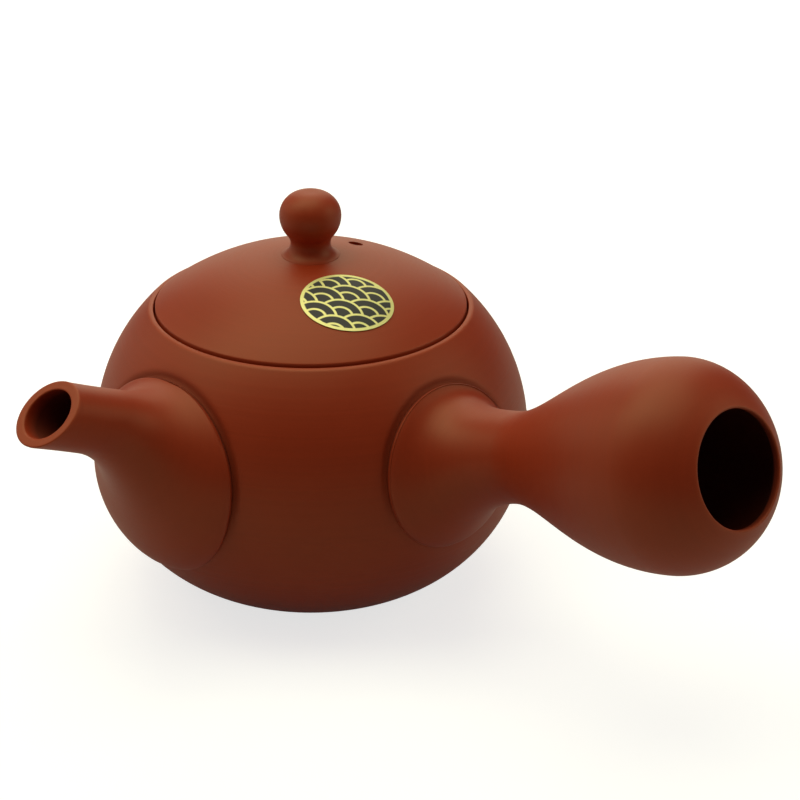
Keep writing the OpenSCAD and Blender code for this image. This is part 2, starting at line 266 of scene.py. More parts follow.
def make_mesh(
    name: str, points: Array, quads: Array, tris: Array | None = None, **marks: Array
) -> bpy.types.Object:
    """Puts points in millimetres and faces into a new smooth mesh object at the origin.

    Args:
        name: Name of the object.
        points: Points, one a row, in millimetres.
        quads: Four corner numbers a face.
        tris: Three corner numbers a face, if there are triangles.
        **marks: Named numbers from 0 to 1 for each point, such as "worn", which is high on rubbed edges.

    Returns:
        The new object, linked into the scene.
    """
    tris = np.zeros((0, 3), int) if tris is None else tris
    mesh = bpy.data.meshes.new(name)
    mesh.vertices.add(len(points))
    mesh.vertices.foreach_set("co", (np.asarray(points) * MM).astype(np.float32).ravel())
    corners = np.concatenate([quads.ravel(), tris.ravel()]).astype(np.int32)
    sizes = np.concatenate([np.full(len(quads), 4), np.full(len(tris), 3)]).astype(np.int32)
    starts = np.concatenate([[0], np.cumsum(sizes)[:-1]]).astype(np.int32)
    mesh.loops.add(len(corners))
    mesh.loops.foreach_set("vertex_index", corners)
    mesh.polygons.add(len(sizes))
    mesh.polygons.foreach_set("loop_start", starts)
    mesh.polygons.foreach_set("loop_total", sizes)
    mesh.polygons.foreach_set("use_smooth", np.ones(len(sizes), bool))
    mesh.update(calc_edges=True)
    mesh.validate()
    for mark, values in marks.items():
        add_mark(mesh, mark, values)
    piece = bpy.data.objects.new(name, mesh)
    bpy.context.scene.collection.objects.link(piece)
    return piece


def even_turns(sides: int) -> Array:
    """Angles of a full turn in even steps, from +X on."""
    return np.linspace(0, 2 * math.pi, sides, endpoint=False)


def spun(outline: Array, turns: Array) -> tuple[Array, Array, Array]:
    """Turned skin: each point (r, z) of the outline becomes the ring (r cos a, r sin a, z), poles closed.

    Args:
        outline: Radius and height of each point, from the axis to the axis.
        turns: Angles of the points on each ring.

    Returns:
        The points, with the two poles last, then the faces with four corners and those with three.
    """
    sides = len(turns)
    rows = len(outline) - 2
    r = outline[1:-1, :1]
    z = outline[1:-1, 1:]
    rings = np.stack(np.broadcast_arrays(r * np.cos(turns), r * np.sin(turns), z), axis=-1).reshape(-1, 3)
    poles = np.array([[0, 0, outline[0, 1]], [0, 0, outline[-1, 1]]])
    i = np.arange(sides)
    after = (i + 1) % sides
    base = (rows - 1) * sides
    first = np.stack([np.full(sides, rows * sides), after, i], axis=1)
    last = np.stack([np.full(sides, rows * sides + 1), base + i, base + after], axis=1)
    return np.concatenate([rings, poles]), grid_quads(rows, sides, False), np.concatenate([first, last])


def turned(
    name: str, outline: Array, worn: Array, turns: Array, shaped: Callable[[Array], Array] | None = None
) -> bpy.types.Object:
    """Piece with a turned skin, which may have something pressed into it.

    Args:
        name: Name of the object.
        outline: Radius and height of each point, from the axis to the axis.
        worn: Wear at each point of the outline.
        turns: Angles of the points on each ring.
        shaped: Moves the points of the rings, if something is pressed into them.

    Returns:
        The new object.
    """
    points, quads, tris = spun(outline, turns)
    if shaped:
        points[:-2] = shaped(points[:-2])
    wear = np.concatenate([np.repeat(worn[1:-1], len(turns)), worn[[0, -1]]])
    return make_mesh(name, points, quads, tris, worn=wear)


def lofted(name: str, rings: Array, worn: Array, hollow: Array, turn: float) -> bpy.types.Object:
    """Closed skin over rings of points, the last ring joined to the first, turned in plan.

    Args:
        name: Name of the object.
        rings: Points as rings by points by 3, drawn towards +X.
        worn: Wear of each point, as rings by points.
        hollow: Share of painted shade at each point, high inside and in a groove, from 0 to 1, as rings by
            points.
        turn: Turn in plan about the pot's axis, in degrees.

    Returns:
        The new object.
    """
    c, s = cos_sin(turn)
    spin = np.array([[c, -s, 0], [s, c, 0], [0, 0, 1]])
    rows, cols = rings.shape[:2]
    quads = grid_quads(rows, cols, True)[:, ::-1]
    points = rings.reshape(-1, 3) @ spin.T
    return make_mesh(name, points, quads, worn=worn.reshape(-1), hollow=hollow.reshape(-1))


def near_edge(distance: Array, width: float) -> Array:
    """Wear that falls off as a bell with the distance from an edge: exp(-(d / width)^2)."""
    return np.exp(-((distance / width) ** 2))


def rubbed(line: Array, corner: tuple[float, float], width: float) -> Array:
    """Wear along a half section round one place on it."""
    return near_edge(np.linalg.norm(line - np.array(corner), axis=1), width)


def drilled(piece: bpy.types.Object, start: Vector, stop: Vector, radius: float) -> None:
    """Cuts a round hole through a piece.

    Args:
        piece: The piece that is cut.
        start: One end of the hole's axis, in millimetres.
        stop: Other end of the hole's axis, in millimetres.
        radius: Radius of the hole in millimetres.
    """
    axis = stop - start
    outline = np.array([[0, 0], [radius, 0], [radius, axis.length], [0, axis.length]])
    points, quads, tris = spun(outline, even_turns(HOLE_SIDES))
    place = np.array(axis.to_track_quat("Z", "Y").to_matrix())
    cutter = make_mesh("cutter", points @ place.T + np.array(start), quads, tris)
    cut = piece.modifiers.new("hole", "BOOLEAN")
    cut.operation = "DIFFERENCE"
    cut.solver = "EXACT"
    cut.object = cutter
    bpy.context.view_layer.update()
    graph = bpy.context.evaluated_depsgraph_get()
    done = bpy.data.meshes.new_from_object(piece.evaluated_get(graph))
    piece.modifiers.clear()
    old = piece.data
    piece.data = done
    bpy.data.meshes.remove(old)
    bpy.data.objects.remove(cutter)
    done.set_sharp_from_angle(angle=SHARP)


# Finishes


class Wiring:
    """Small helper that adds nodes to one tree and links them."""

    def __init__(self, tree: bpy.types.NodeTree) -> None:
        """Keeps the tree that is wired."""
        self.tree = tree

    def node(self, kind: str, **settings: object) -> bpy.types.Node:
        """Adds a node of one kind and sets its own properties.

        Args:
            kind: Blender's name of the node type.
            **settings: Properties of the node.

        Returns:
            The new node.
        """
        made = self.tree.nodes.new(kind)
        for key, value in settings.items():
            setattr(made, key, value)
        return made

    def join(self, out: bpy.types.NodeSocket, into: bpy.types.NodeSocket) -> None:
        """Links one socket into another."""
        self.tree.links.new(out, into)

    def feed(self, into: bpy.types.NodeSocket, value: object) -> None:
        """Links a socket, or writes a plain value, into an input."""
        if isinstance(value, bpy.types.NodeSocket):
            self.join(value, into)
        else:
            into.default_value = value

    def feed_all(self, node: bpy.types.Node, values: dict[str, object]) -> bpy.types.Node:
        """Links sockets, or writes plain values, into a node's named inputs and returns the node."""
        for name, value in values.items():
            self.feed(node.inputs[name], value)
        return node

    def math(self, kind: str, a: object, b: object = 0.0, c: object = 0.0) -> bpy.types.NodeSocket:
        """Adds a math node.

        Args:
            kind: Blender's name of the operation.
            a: First value or socket.
            b: Second value or socket.
            c: Third value or socket.

        Returns:
            The node's output.
        """
        made = self.node("ShaderNodeMath", operation=kind)
        for into, value in zip(made.inputs, (a, b, c)):
            self.feed(into, value)
        return made.outputs[0]

    def weighted(self, start: object, *terms: tuple[object, float]) -> bpy.types.NodeSocket:
        """Adds up a start value and each term's value times its share.

        Args:
            start: First value or socket of the sum.
            *terms: Pairs of a socket and its share.

        Returns:
            The sum.
        """
        total = start
        for value, share in terms:
            total = self.math("MULTIPLY_ADD", value, share, total)
        return total

    def dot(self, a: object, b: object) -> bpy.types.NodeSocket:
        """Adds the dot product of two vectors.

        Args:
            a: First vector or socket.
            b: Second vector or socket.

        Returns:
            The product.
        """
        made = self.node("ShaderNodeVectorMath", operation="DOT_PRODUCT")
        self.feed(made.inputs[0], a)
        self.feed(made.inputs[1], b)
        return made.outputs["Value"]

    def attribute(self, name: str) -> bpy.types.NodeSocket:
        """Reads a named number of the piece's points and returns its socket."""
        return self.node("ShaderNodeAttribute", attribute_name=name).outputs["Fac"]

    def noise(self, vector: object, scale: float, detail: float, rough: float) -> bpy.types.NodeSocket:
        """Adds a noise texture over a vector.

        Args:
            vector: Socket with the place on the surface.
            scale: Scale of the noise, in features a metre.
            detail: Octaves of finer noise.
            rough: Strength of the finer octaves.

        Returns:
            The noise's value.
        """
        made = self.node("ShaderNodeTexNoise", noise_dimensions="3D")
        self.feed_all(made, {"Vector": vector, "Scale": scale, "Detail": detail, "Roughness": rough})
        return made.outputs["Fac"]

    def mix(self, share: object, a: object, b: object) -> bpy.types.NodeSocket:
        """Adds a mix of two colours, with a share of the second, and returns its socket."""
        made = self.node("ShaderNodeMix", data_type="RGBA", blend_type="MIX")
        return self.feed_all(made, {"Factor": share, "A": a, "B": b}).outputs["Result"]

    def bump(self, height: object, strength: float, depth: float) -> bpy.types.NodeSocket:
        """Adds a bump.

        Args:
            height: Socket with the height.
            strength: Strength of the bump.
            depth: Millimetres that a height of 1 stands for.

        Returns:
            The bumped normal.
        """
        made = self.node("ShaderNodeBump")
        self.feed_all(made, {"Strength": strength, "Distance": depth * MM, "Height": height})
        return made.outputs["Normal"]


def emptied(owner: bpy.types.Material | bpy.types.World) -> Wiring:
    """Gives a material or a world an empty node tree.

    Args:
        owner: The material or world.

    Returns:
        The wiring of the tree.
    """
    owner.use_nodes = True
    owner.node_tree.nodes.clear()
    return Wiring(owner.node_tree)


def principled(name: str) -> tuple[bpy.types.Material, Wiring, bpy.types.Node]:
    """Makes a material whose surface is one principled shader.

    Args:
        name: Name of the material.

    Returns:
        The material, its wiring and the shader's node.
    """
    made = bpy.data.materials.new(name)
    w = emptied(made)
    shader = w.node("ShaderNodeBsdfPrincipled")
    w.join(shader.outputs[0], w.node("ShaderNodeOutputMaterial").inputs["Surface"])
    return made, w, shader


@dataclass(frozen=True)
class ClayGrain:
    """Shader group for fine unglazed clay: broad mottling, fine grain, lines of turning and rubbed edges.

    Each row of shares goes with the mottling, the grain and, where it has a third, the lines of turning.
    The Hollow input mixes in painted shade, a dark tone for hollows, grooves and insides.
    """

    name: str = "clay_grain"
    broad_scale: float = 42.0
    grain_scale: float = 1900.0
    ring_detail: float = 2.5
    ring_rough: float = 0.65
    tone_start: float = -0.1
    tone_shares: Triple = (0.55, 0.35, 0.5)
    rub_share: float = 0.5
    rough_start: float = 0.36
    rough_shares: tuple[float, float] = (0.12, 0.1)
    hollow_rough: float = 0.4
    height_shares: Triple = (0.6, 0.4, 1.0)

    def group(self) -> bpy.types.NodeTree:
        """Builds the group, or finds it where it is already built.

        Returns:
            The group. Its inputs are Place, Along, Ring Spacing, Ring Depth, Worn, Hollow and the four tones.
            Its outputs are Color, Roughness and Height.
        """
        found = bpy.data.node_groups.get(self.name)
        if found:
            return found
        group = bpy.data.node_groups.new(self.name, "ShaderNodeTree")
        for side, kind, names in (
            ("INPUT", "NodeSocketVector", ("Place",)),
            ("INPUT", "NodeSocketFloat", ("Along", "Ring Spacing", "Ring Depth", "Worn", "Hollow")),
            ("INPUT", "NodeSocketColor", ("Tone", "Deep Tone", "Rubbed Tone", "Painted Shade Tone")),
            ("OUTPUT", "NodeSocketColor", ("Color",)),
            ("OUTPUT", "NodeSocketFloat", ("Roughness", "Height")),
        ):
            for name in names:
                group.interface.new_socket(name=name, in_out=side, socket_type=kind)
        w = Wiring(group)
        given = w.node("NodeGroupInput").outputs
        broad = w.noise(given["Place"], self.broad_scale, detail=3.0, rough=0.55)
        grain = w.noise(given["Place"], self.grain_scale, detail=2.0, rough=0.6)
        along = w.math("DIVIDE", given["Along"], given["Ring Spacing"])
        rings = w.node("ShaderNodeTexNoise", noise_dimensions="1D")
        fine = {"Detail": self.ring_detail, "Roughness": self.ring_rough}
        w.feed_all(rings, {"W": along, "Scale": 1.0, **fine})
        ring = w.math("MULTIPLY", w.math("SUBTRACT", rings.outputs["Fac"], 0.5), given["Ring Depth"])
        relief = (broad, grain, ring)
        depth = w.weighted(self.tone_start, *zip(relief, self.tone_shares))
        depth.node.use_clamp = True
        color = w.mix(depth, given["Deep Tone"], given["Tone"])
        color = w.mix(w.math("MULTIPLY", given["Worn"], self.rub_share), color, given["Rubbed Tone"])
        rough = w.weighted(self.rough_start, *zip(relief, self.rough_shares))
        # Painted shade: the Hollow share pulls the colour towards the dark tone, and also raises the
        # roughness
        w.feed_all(
            w.node("NodeGroupOutput"),
            {
                "Color": w.mix(given["Hollow"], color, given["Painted Shade Tone"]),
                "Roughness": w.weighted(rough, (given["Hollow"], self.hollow_rough)),
                "Height": w.weighted(0.0, *zip(relief, self.height_shares)),
            },
        )
        return group


@dataclass(frozen=True)
class ClayFinish:
    """Unglazed clay on one piece, with the direction of its lines of turning."""

    name: str
    turned: Turned = Turned.HEIGHT
    line: Triple = (0.0, 0.0, 1.0)
    ring_spacing: float = 0.9
    ring_depth: float = 0.5
    tone: Triple = (0.41, 0.034, 0.0065)
    deep: Triple = (0.305, 0.025, 0.0043)
    rubbed: Triple = (0.44, 0.06, 0.018)
    # Painted shade: dark tone laid into hollows, grooves and insides where the "hollow" mark says so
    hollow: Triple = (0.12, 0.007, 0.0016)
    sheen: Triple = (1.0, 0.92, 0.58)
    ior: float = 1.5
    bump: float = 0.22
    bump_depth: float = 0.12

    def material(self) -> bpy.types.Material:
        """Builds the material from the shared clay group.

        Returns:
            The new material.
        """
        made, w, shader = principled(self.name)
        place = w.node("ShaderNodeTexCoord").outputs["Object"]
        clay = w.feed_all(
            w.node("ShaderNodeGroup", node_tree=ClayGrain().group()),
            {
                "Place": place,
                "Along": self.along(w, place),
                "Ring Spacing": self.ring_spacing * MM,
                "Ring Depth": self.ring_depth,
                "Worn": w.attribute("worn"),
                # Share of painted shade at each point
                "Hollow": w.attribute("hollow"),
                "Tone": (*self.tone, 1),
                "Deep Tone": (*self.deep, 1),
                "Rubbed Tone": (*self.rubbed, 1),
                "Painted Shade Tone": (*self.hollow, 1),
            },
        )
        w.feed_all(
            shader,
            {
                "Base Color": clay.outputs["Color"],
                "Roughness": clay.outputs["Roughness"],
                "Normal": w.bump(clay.outputs["Height"], self.bump, self.bump_depth),
                "IOR": self.ior,
                "Specular Tint": (*self.sheen, 1),
            },
        )
        return made

    def along(self, w: Wiring, place: bpy.types.NodeSocket) -> bpy.types.NodeSocket:
        """Wires the length along which the rings of turning follow each other.

        Args:
            w: Wiring of the material.
            place: Socket with the place on the surface.

        Returns:
            The height, the radius from the upright axis, or the length along the line.
        """
        if self.turned is Turned.LINE:
            return w.dot(place, self.line)
        parts = w.node("ShaderNodeSeparateXYZ")
        w.join(place, parts.inputs[0])
        if self.turned is Turned.HEIGHT:
            return parts.outputs["Z"]
        square = w.math("MULTIPLY", parts.outputs["X"], parts.outputs["X"])
        return w.math("SQRT", w.math("MULTIPLY_ADD", parts.outputs["Y"], parts.outputs["Y"], square))


@dataclass(frozen=True)
class LabelFinish:
    """Black label paper with printed gold, where the attribute "gilt" says gold."""

    name: str = "gilt_label_paper"
    paper: Triple = (0.012, 0.011, 0.01)
    paper_pale: Triple = (0.03, 0.028, 0.025)
    gold: Triple = (0.82, 0.79, 0.34)
    gold_dull: Triple = (0.66, 0.62, 0.24)
    shine: float = 0.8
    rough: float = 0.42
    fibre_scale: float = 2600.0
    fibre_on_paper: float = 0.6
    fibre_on_gold: float = 0.5
    fibre_rough: float = 0.12

    def material(self) -> bpy.types.Material:
        """Builds the material.

        Returns:
            The new material.
        """
        made, w, shader = principled(self.name)
        place = w.node("ShaderNodeTexCoord").outputs["Object"]
        gilt = w.attribute("gilt")
        fibre = w.noise(place, self.fibre_scale, detail=3.0, rough=0.6)
        share = w.math("MULTIPLY", fibre, self.fibre_on_paper)
        dark = w.mix(share, (*self.paper, 1), (*self.paper_pale, 1))
        share = w.math("MULTIPLY", fibre, self.fibre_on_gold)
        bright = w.mix(share, (*self.gold, 1), (*self.gold_dull, 1))
        w.feed_all(
            shader,
            {
                "Base Color": w.mix(gilt, dark, bright),
                "Metallic": w.math("MULTIPLY", gilt, self.shine),
                "Roughness": w.weighted(self.rough, (fibre, self.fibre_rough)),
                "Normal": w.bump(w.math("ADD", fibre, gilt), strength=0.15, depth=0.05),
            },
        )
        return made


def dress(piece: bpy.types.Object, material: bpy.types.Material, body: Body, slot: Slot, *nodes: str) -> None:
    """Gives a piece its material, the body that it rides on and the solids that it stands for.

    Args:
        piece: The piece.
        material: Its material.
        body: The body that it rides on.
        slot: Not used.
        *nodes: The solids that it replaces.
    """
    piece.data.materials.clear()
    piece.data.materials.append(material)
    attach(piece, body.value)
    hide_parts(*nodes)
    LOG.info("%s rides on %s with %d faces", piece.name, body.value, len(piece.data.polygons))


# The pot and what is luted to it


def fade_down(share: Array, low: float = -0.75, span: float = 1.2) -> Array:
    """Fade of a groove towards the bottom of its skirt: 0 up to "low", and 1 from "span" above that on.

    Args:
        share: Height above the middle of the skirt's oval, as a share of its half height.
        low: Share below which there is no groove.
        span: Length of the straight climb from 0 to 1.

    Returns:
        A number from 0 to 1 for each share.
    """
    return np.clip((share - low) / span, 0, 1)


@dataclass(frozen=True)
class SkirtSize:
    """Half width, upper half height and lower half height of a skirt's oval."""

    wide: float
    upper: float
    lower: float

    def grown(self, by: float) -> "SkirtSize":
        """The oval grown by a distance on all sides."""
        return SkirtSize(self.wide + by, self.upper + by, self.lower + by)

    def towards(self, r: float, share: float) -> "SkirtSize":
        """The oval that lies a share of the way from a circle of radius r to this one."""
        return SkirtSize(*(r + (v - r) * share for v in (self.wide, self.upper, self.lower)))

    @staticmethod
    def round(r: float) -> "SkirtSize":
        """A circle."""
        return SkirtSize(r, r, r)


@dataclass(frozen=True)
class Groove:
    """Groove that a tool leaves on the pot round one luted skirt, seen along a direction in plan."""

    turn: float
    middle: float
    size: SkirtSize
    aside: float
    width: float = 0.75
    depth: float = 0.42
    inside: float = 2.0

    def half_angle(self, wall_r: float) -> float:
        """Half of the angle in plan that the groove takes on a wall, in degrees, with room on both sides."""
        return math.degrees(math.asin((self.size.wide + abs(self.aside) + 2 * self.width) / wall_r))

    def share(self, points: Array) -> Array:
        """Share of the groove's depth: exp(-(d / width)^2), with d the distance from the groove's oval.

        The oval is seen along its line in plan. Towards the skirt the width is "inside" times as large, so
        that the skirt stands in the groove. The groove fades towards the bottom of the skirt and is nothing
        on the pot's far side.

        Args:
            points: Points, one a row.

        Returns:
            A number from 0 to 1 for each point.
        """
        c, s = cos_sin(self.turn)
        side = points @ [-s, c, 0] - self.aside
        up = points[:, 2] - self.middle
        share = np.hypot(side / self.size.wide, up / np.where(up > 0, self.size.upper, self.size.lower))
        far = (share - 1) * self.size.upper / self.width
        far = np.where(far < 0, far / self.inside, far)
        fade = fade_down(up / self.size.upper)
        front = points @ [c, s, 0] > 0
        return np.exp(-(far**2)) * fade**2 * (3 - 2 * fade) * front


@dataclass(frozen=True)
class Pot:
    """Thrown pot: two arcs that leave the belly upright, a rim with a seat for the lid, and a pour hole.

    Where grooves run, its points stand "fine" millimetres apart, from the angle "fine_from" under the belly
    on. Elsewhere they stand "coarse" degrees apart in plan. Points closer than "skin" to the outside
    belong to it.
    """

    belly_r: float = 47.0
    belly_h: float = 32.4
    foot_r: float = 24.2
    rim_h: float = 61.6
    recess_r: float = 33.8
    rim_w: float = 0.9
    wall: float = 3.0
    floor: float = 3.8
    seat_h: float = 59.0
    throat_r: float = 30.2
    ledge_h: float = 56.4
    ledge_slope: float = 30.0
    pour_h: float = 38.0
    pour_r: float = 11.0
    pour_span: tuple[float, float] = (-30.0, -60.0)
    lute_gap: float = 0.1
    floor_soft: float = 1.5
    fine: float = 0.38
    fine_from: float = -22.0
    coarse: float = 2.3
    rub: float = 0.4
    # Strength of the painted shade in the grooves round the skirts
    groove_painted_shade: float = 0.38
    skin: float = 0.2

    @staticmethod
    def arc_through(over: float, up: float) -> float:
        """Radius of the arc that starts upright and moves in by "over" while it climbs "up"."""
        return (over * over + up * up) / (2 * over)

    @property
    def shoulder_r(self) -> float:
        """Radius of the arc from the belly to the rim."""
        return self.arc_through(self.belly_r - self.recess_r - self.rim_w, self.rim_h - self.belly_h)

    @property
    def lower_r(self) -> float:
        """Radius of the arc from the belly to the foot."""
        return self.arc_through(self.belly_r - self.foot_r, self.belly_h)

    def arc_r(self, h: Array) -> Array:
        """Radius of the wall's arc at a height."""
        return np.where(h > self.belly_h, self.shoulder_r, self.lower_r)

    def radius(self, h: Array) -> Array:
        """Radius of the outside at a height: belly_r - R + sqrt(R^2 - (h - belly_h)^2), R the arc's."""
        r = self.arc_r(h)
        return self.belly_r - r + np.sqrt(np.maximum(r * r - (h - self.belly_h) ** 2, 0))

    def on_wall(self, side: Array, h: Array, rise: Array) -> Array:
        """Points on the outside towards +X, moved out along the wall's normal.

        The point is (sqrt(r(h)^2 - side^2), side, h), and the normal points away from the ring on which the
        middles of the wall's arcs lie.

        Args:
            side: Offset along Y.
            h: Height.
            rise: Distance above the wall.

        Returns:
            The points, with their coordinates along the last axis.
        """
        r = self.radius(h)
        x = np.sqrt(np.maximum(r * r - side * side, 0))
        mid = self.belly_r - self.arc_r(h)
        out = np.stack([x * (1 - mid / r), side * (1 - mid / r), h - self.belly_h], axis=-1)
        out /= np.linalg.norm(out, axis=-1, keepdims=True)
        return np.stack(np.broadcast_arrays(x, side, h), axis=-1) + np.asarray(rise)[..., None] * out

    def outline(self) -> Array:
        """Half section of the pot, from the middle of its underside over the rim to the middle of its floor.

        Under the seat a ledge slopes down to where it meets the inside of the shoulder.

        Returns:
            Radius and height of each point.
        """
        upper = (self.belly_r - self.shoulder_r, self.belly_h)
        lower = (self.belly_r - self.lower_r, self.belly_h)
        upper_in = self.shoulder_r - self.wall
        lower_in = self.lower_r - self.wall
        rim_a = math.degrees(math.asin((self.rim_h - self.belly_h) / self.shoulder_r))
        foot_a = math.degrees(math.asin(-self.belly_h / self.lower_r))
        inside_h = np.linspace(self.belly_h, self.ledge_h, 400)
        inside_r = upper[0] + np.sqrt(upper_in**2 - (inside_h - self.belly_h) ** 2)
        ledge = self.ledge_h - (inside_r - self.throat_r) * math.tan(math.radians(self.ledge_slope))
        meet = int(np.argmin(np.abs(ledge - inside_h)))
        meet_a = math.degrees(math.asin((inside_h[meet] - self.belly_h) / upper_in))
        floor_a = math.degrees(math.asin((self.floor - self.belly_h) / lower_in))
        floor_r = lower[0] + lower_in * math.cos(math.radians(floor_a)) - self.floor_soft
        return (
            Outline()
            .to(0, 0)
            .to(self.foot_r, 0, 0.9)
            .run(arc(lower, self.lower_r, foot_a + 2.2, self.fine_from, 1.0))
            .run(arc(lower, self.lower_r, self.fine_from, 0, self.fine)[1:])
            .run(arc(upper, self.shoulder_r, 0, rim_a - 0.9, self.fine)[1:])
            .to(self.recess_r + self.rim_w, self.rim_h, 0.6)
            .to(self.recess_r, self.rim_h, 0.25)
            .to(self.recess_r, self.seat_h, 0.5)
            .to(self.throat_r, self.seat_h, 0.6)
            .to(self.throat_r, self.ledge_h, 0.8)
            .run(arc(upper, upper_in, meet_a - 2, 0, 1.6))
            .run(arc(lower, lower_in, 0, floor_a + 2, 1.6)[1:])
            .to(floor_r, self.floor, self.floor_soft)
            .to(0, self.floor)
            .points(1.6)
        )

    def turns(self, grooves: tuple[Groove, ...]) -> Array:
        """Angles in plan that stand "fine" apart where a groove runs, and wider apart elsewhere.

        The angles share out the running sum of their density evenly.

        Args:
            grooves: The grooves on the pot.

        Returns:
            The angles, from +X on.
        """
        a = np.linspace(0, 360, 20 * 360 + 1)
        density = np.full(len(a), 1 / self.coarse)
        for groove in grooves:
            near = np.abs((a - groove.turn + 180) % 360 - 180) < groove.half_angle(self.belly_r)
            density[near] = math.radians(self.belly_r) / self.fine
        total = np.concatenate([[0], np.cumsum((density[1:] + density[:-1]) / 2 * np.diff(a))])
        return np.radians(np.interp(np.linspace(0, total[-1], int(total[-1]), endpoint=False), total, a))

    def grooved(self, points: Array, grooves: tuple[Groove, ...]) -> Array:
        """Sinks the grooves into the outside of the wall, along its normal.

        Args:
            points: Points of the pot.
            grooves: The grooves on the pot.

        Returns:
            The moved points.
        """
        r = np.hypot(points[:, 0], points[:, 1])
        reach = self.arc_r(points[:, 2])
        outside = np.abs(r - self.radius(points[:, 2])) < self.skin
        sink = np.max([groove.depth * groove.share(points) for groove in grooves], axis=0) * outside
        out = (r - self.belly_r + reach) / reach
        up = (points[:, 2] - self.belly_h) / reach
        normal = np.stack([points[:, 0] / r * out, points[:, 1] / r * out, up], axis=1)
        return points - sink[:, None] * normal

    def build(self, grooves: tuple[Groove, ...]) -> bpy.types.Object:
        """Turns the outline, sinks the grooves, marks the rubbed rim, paints shade into the grooves and cuts
        the pour hole.

        Args:
            grooves: The grooves on the pot.

        Returns:
            The pot.
        """
        line = self.outline()
        rim = rubbed(line, (self.recess_r + self.rim_w, self.rim_h), self.rub)
        lip = rubbed(line, (self.recess_r, self.rim_h), self.rub)
        worn = np.maximum(rim, lip)
        piece = turned("pot_shell", line, worn, self.turns(grooves), lambda p: self.grooved(p, grooves))
        places = np.zeros(3 * len(piece.data.vertices), np.float32)
        piece.data.vertices.foreach_get("co", places)
        # Painted shade: a darker tone in the grooves round the skirts, by each groove's share
        dark = np.max([groove.share(places.reshape(-1, 3) / MM) for groove in grooves], axis=0)
        add_mark(piece.data, "hollow", self.groove_painted_shade * dark)
        start, stop = (Vector((x, 0, self.pour_h)) for x in self.pour_span)
        drilled(piece, start, stop, self.pour_r)
        return piece

    def dress(self, *grooves: Groove) -> None:
        """Builds the pot and gives it clay with level lines of turning and painted shade in each skirt's
        groove.
        """
        finish = ClayFinish("pot_clay", Turned.HEIGHT, ring_spacing=1.1, ring_depth=0.9)
        dress(self.build(grooves), finish.material(), Body.POT, Slot.CLAY, "pot_body")


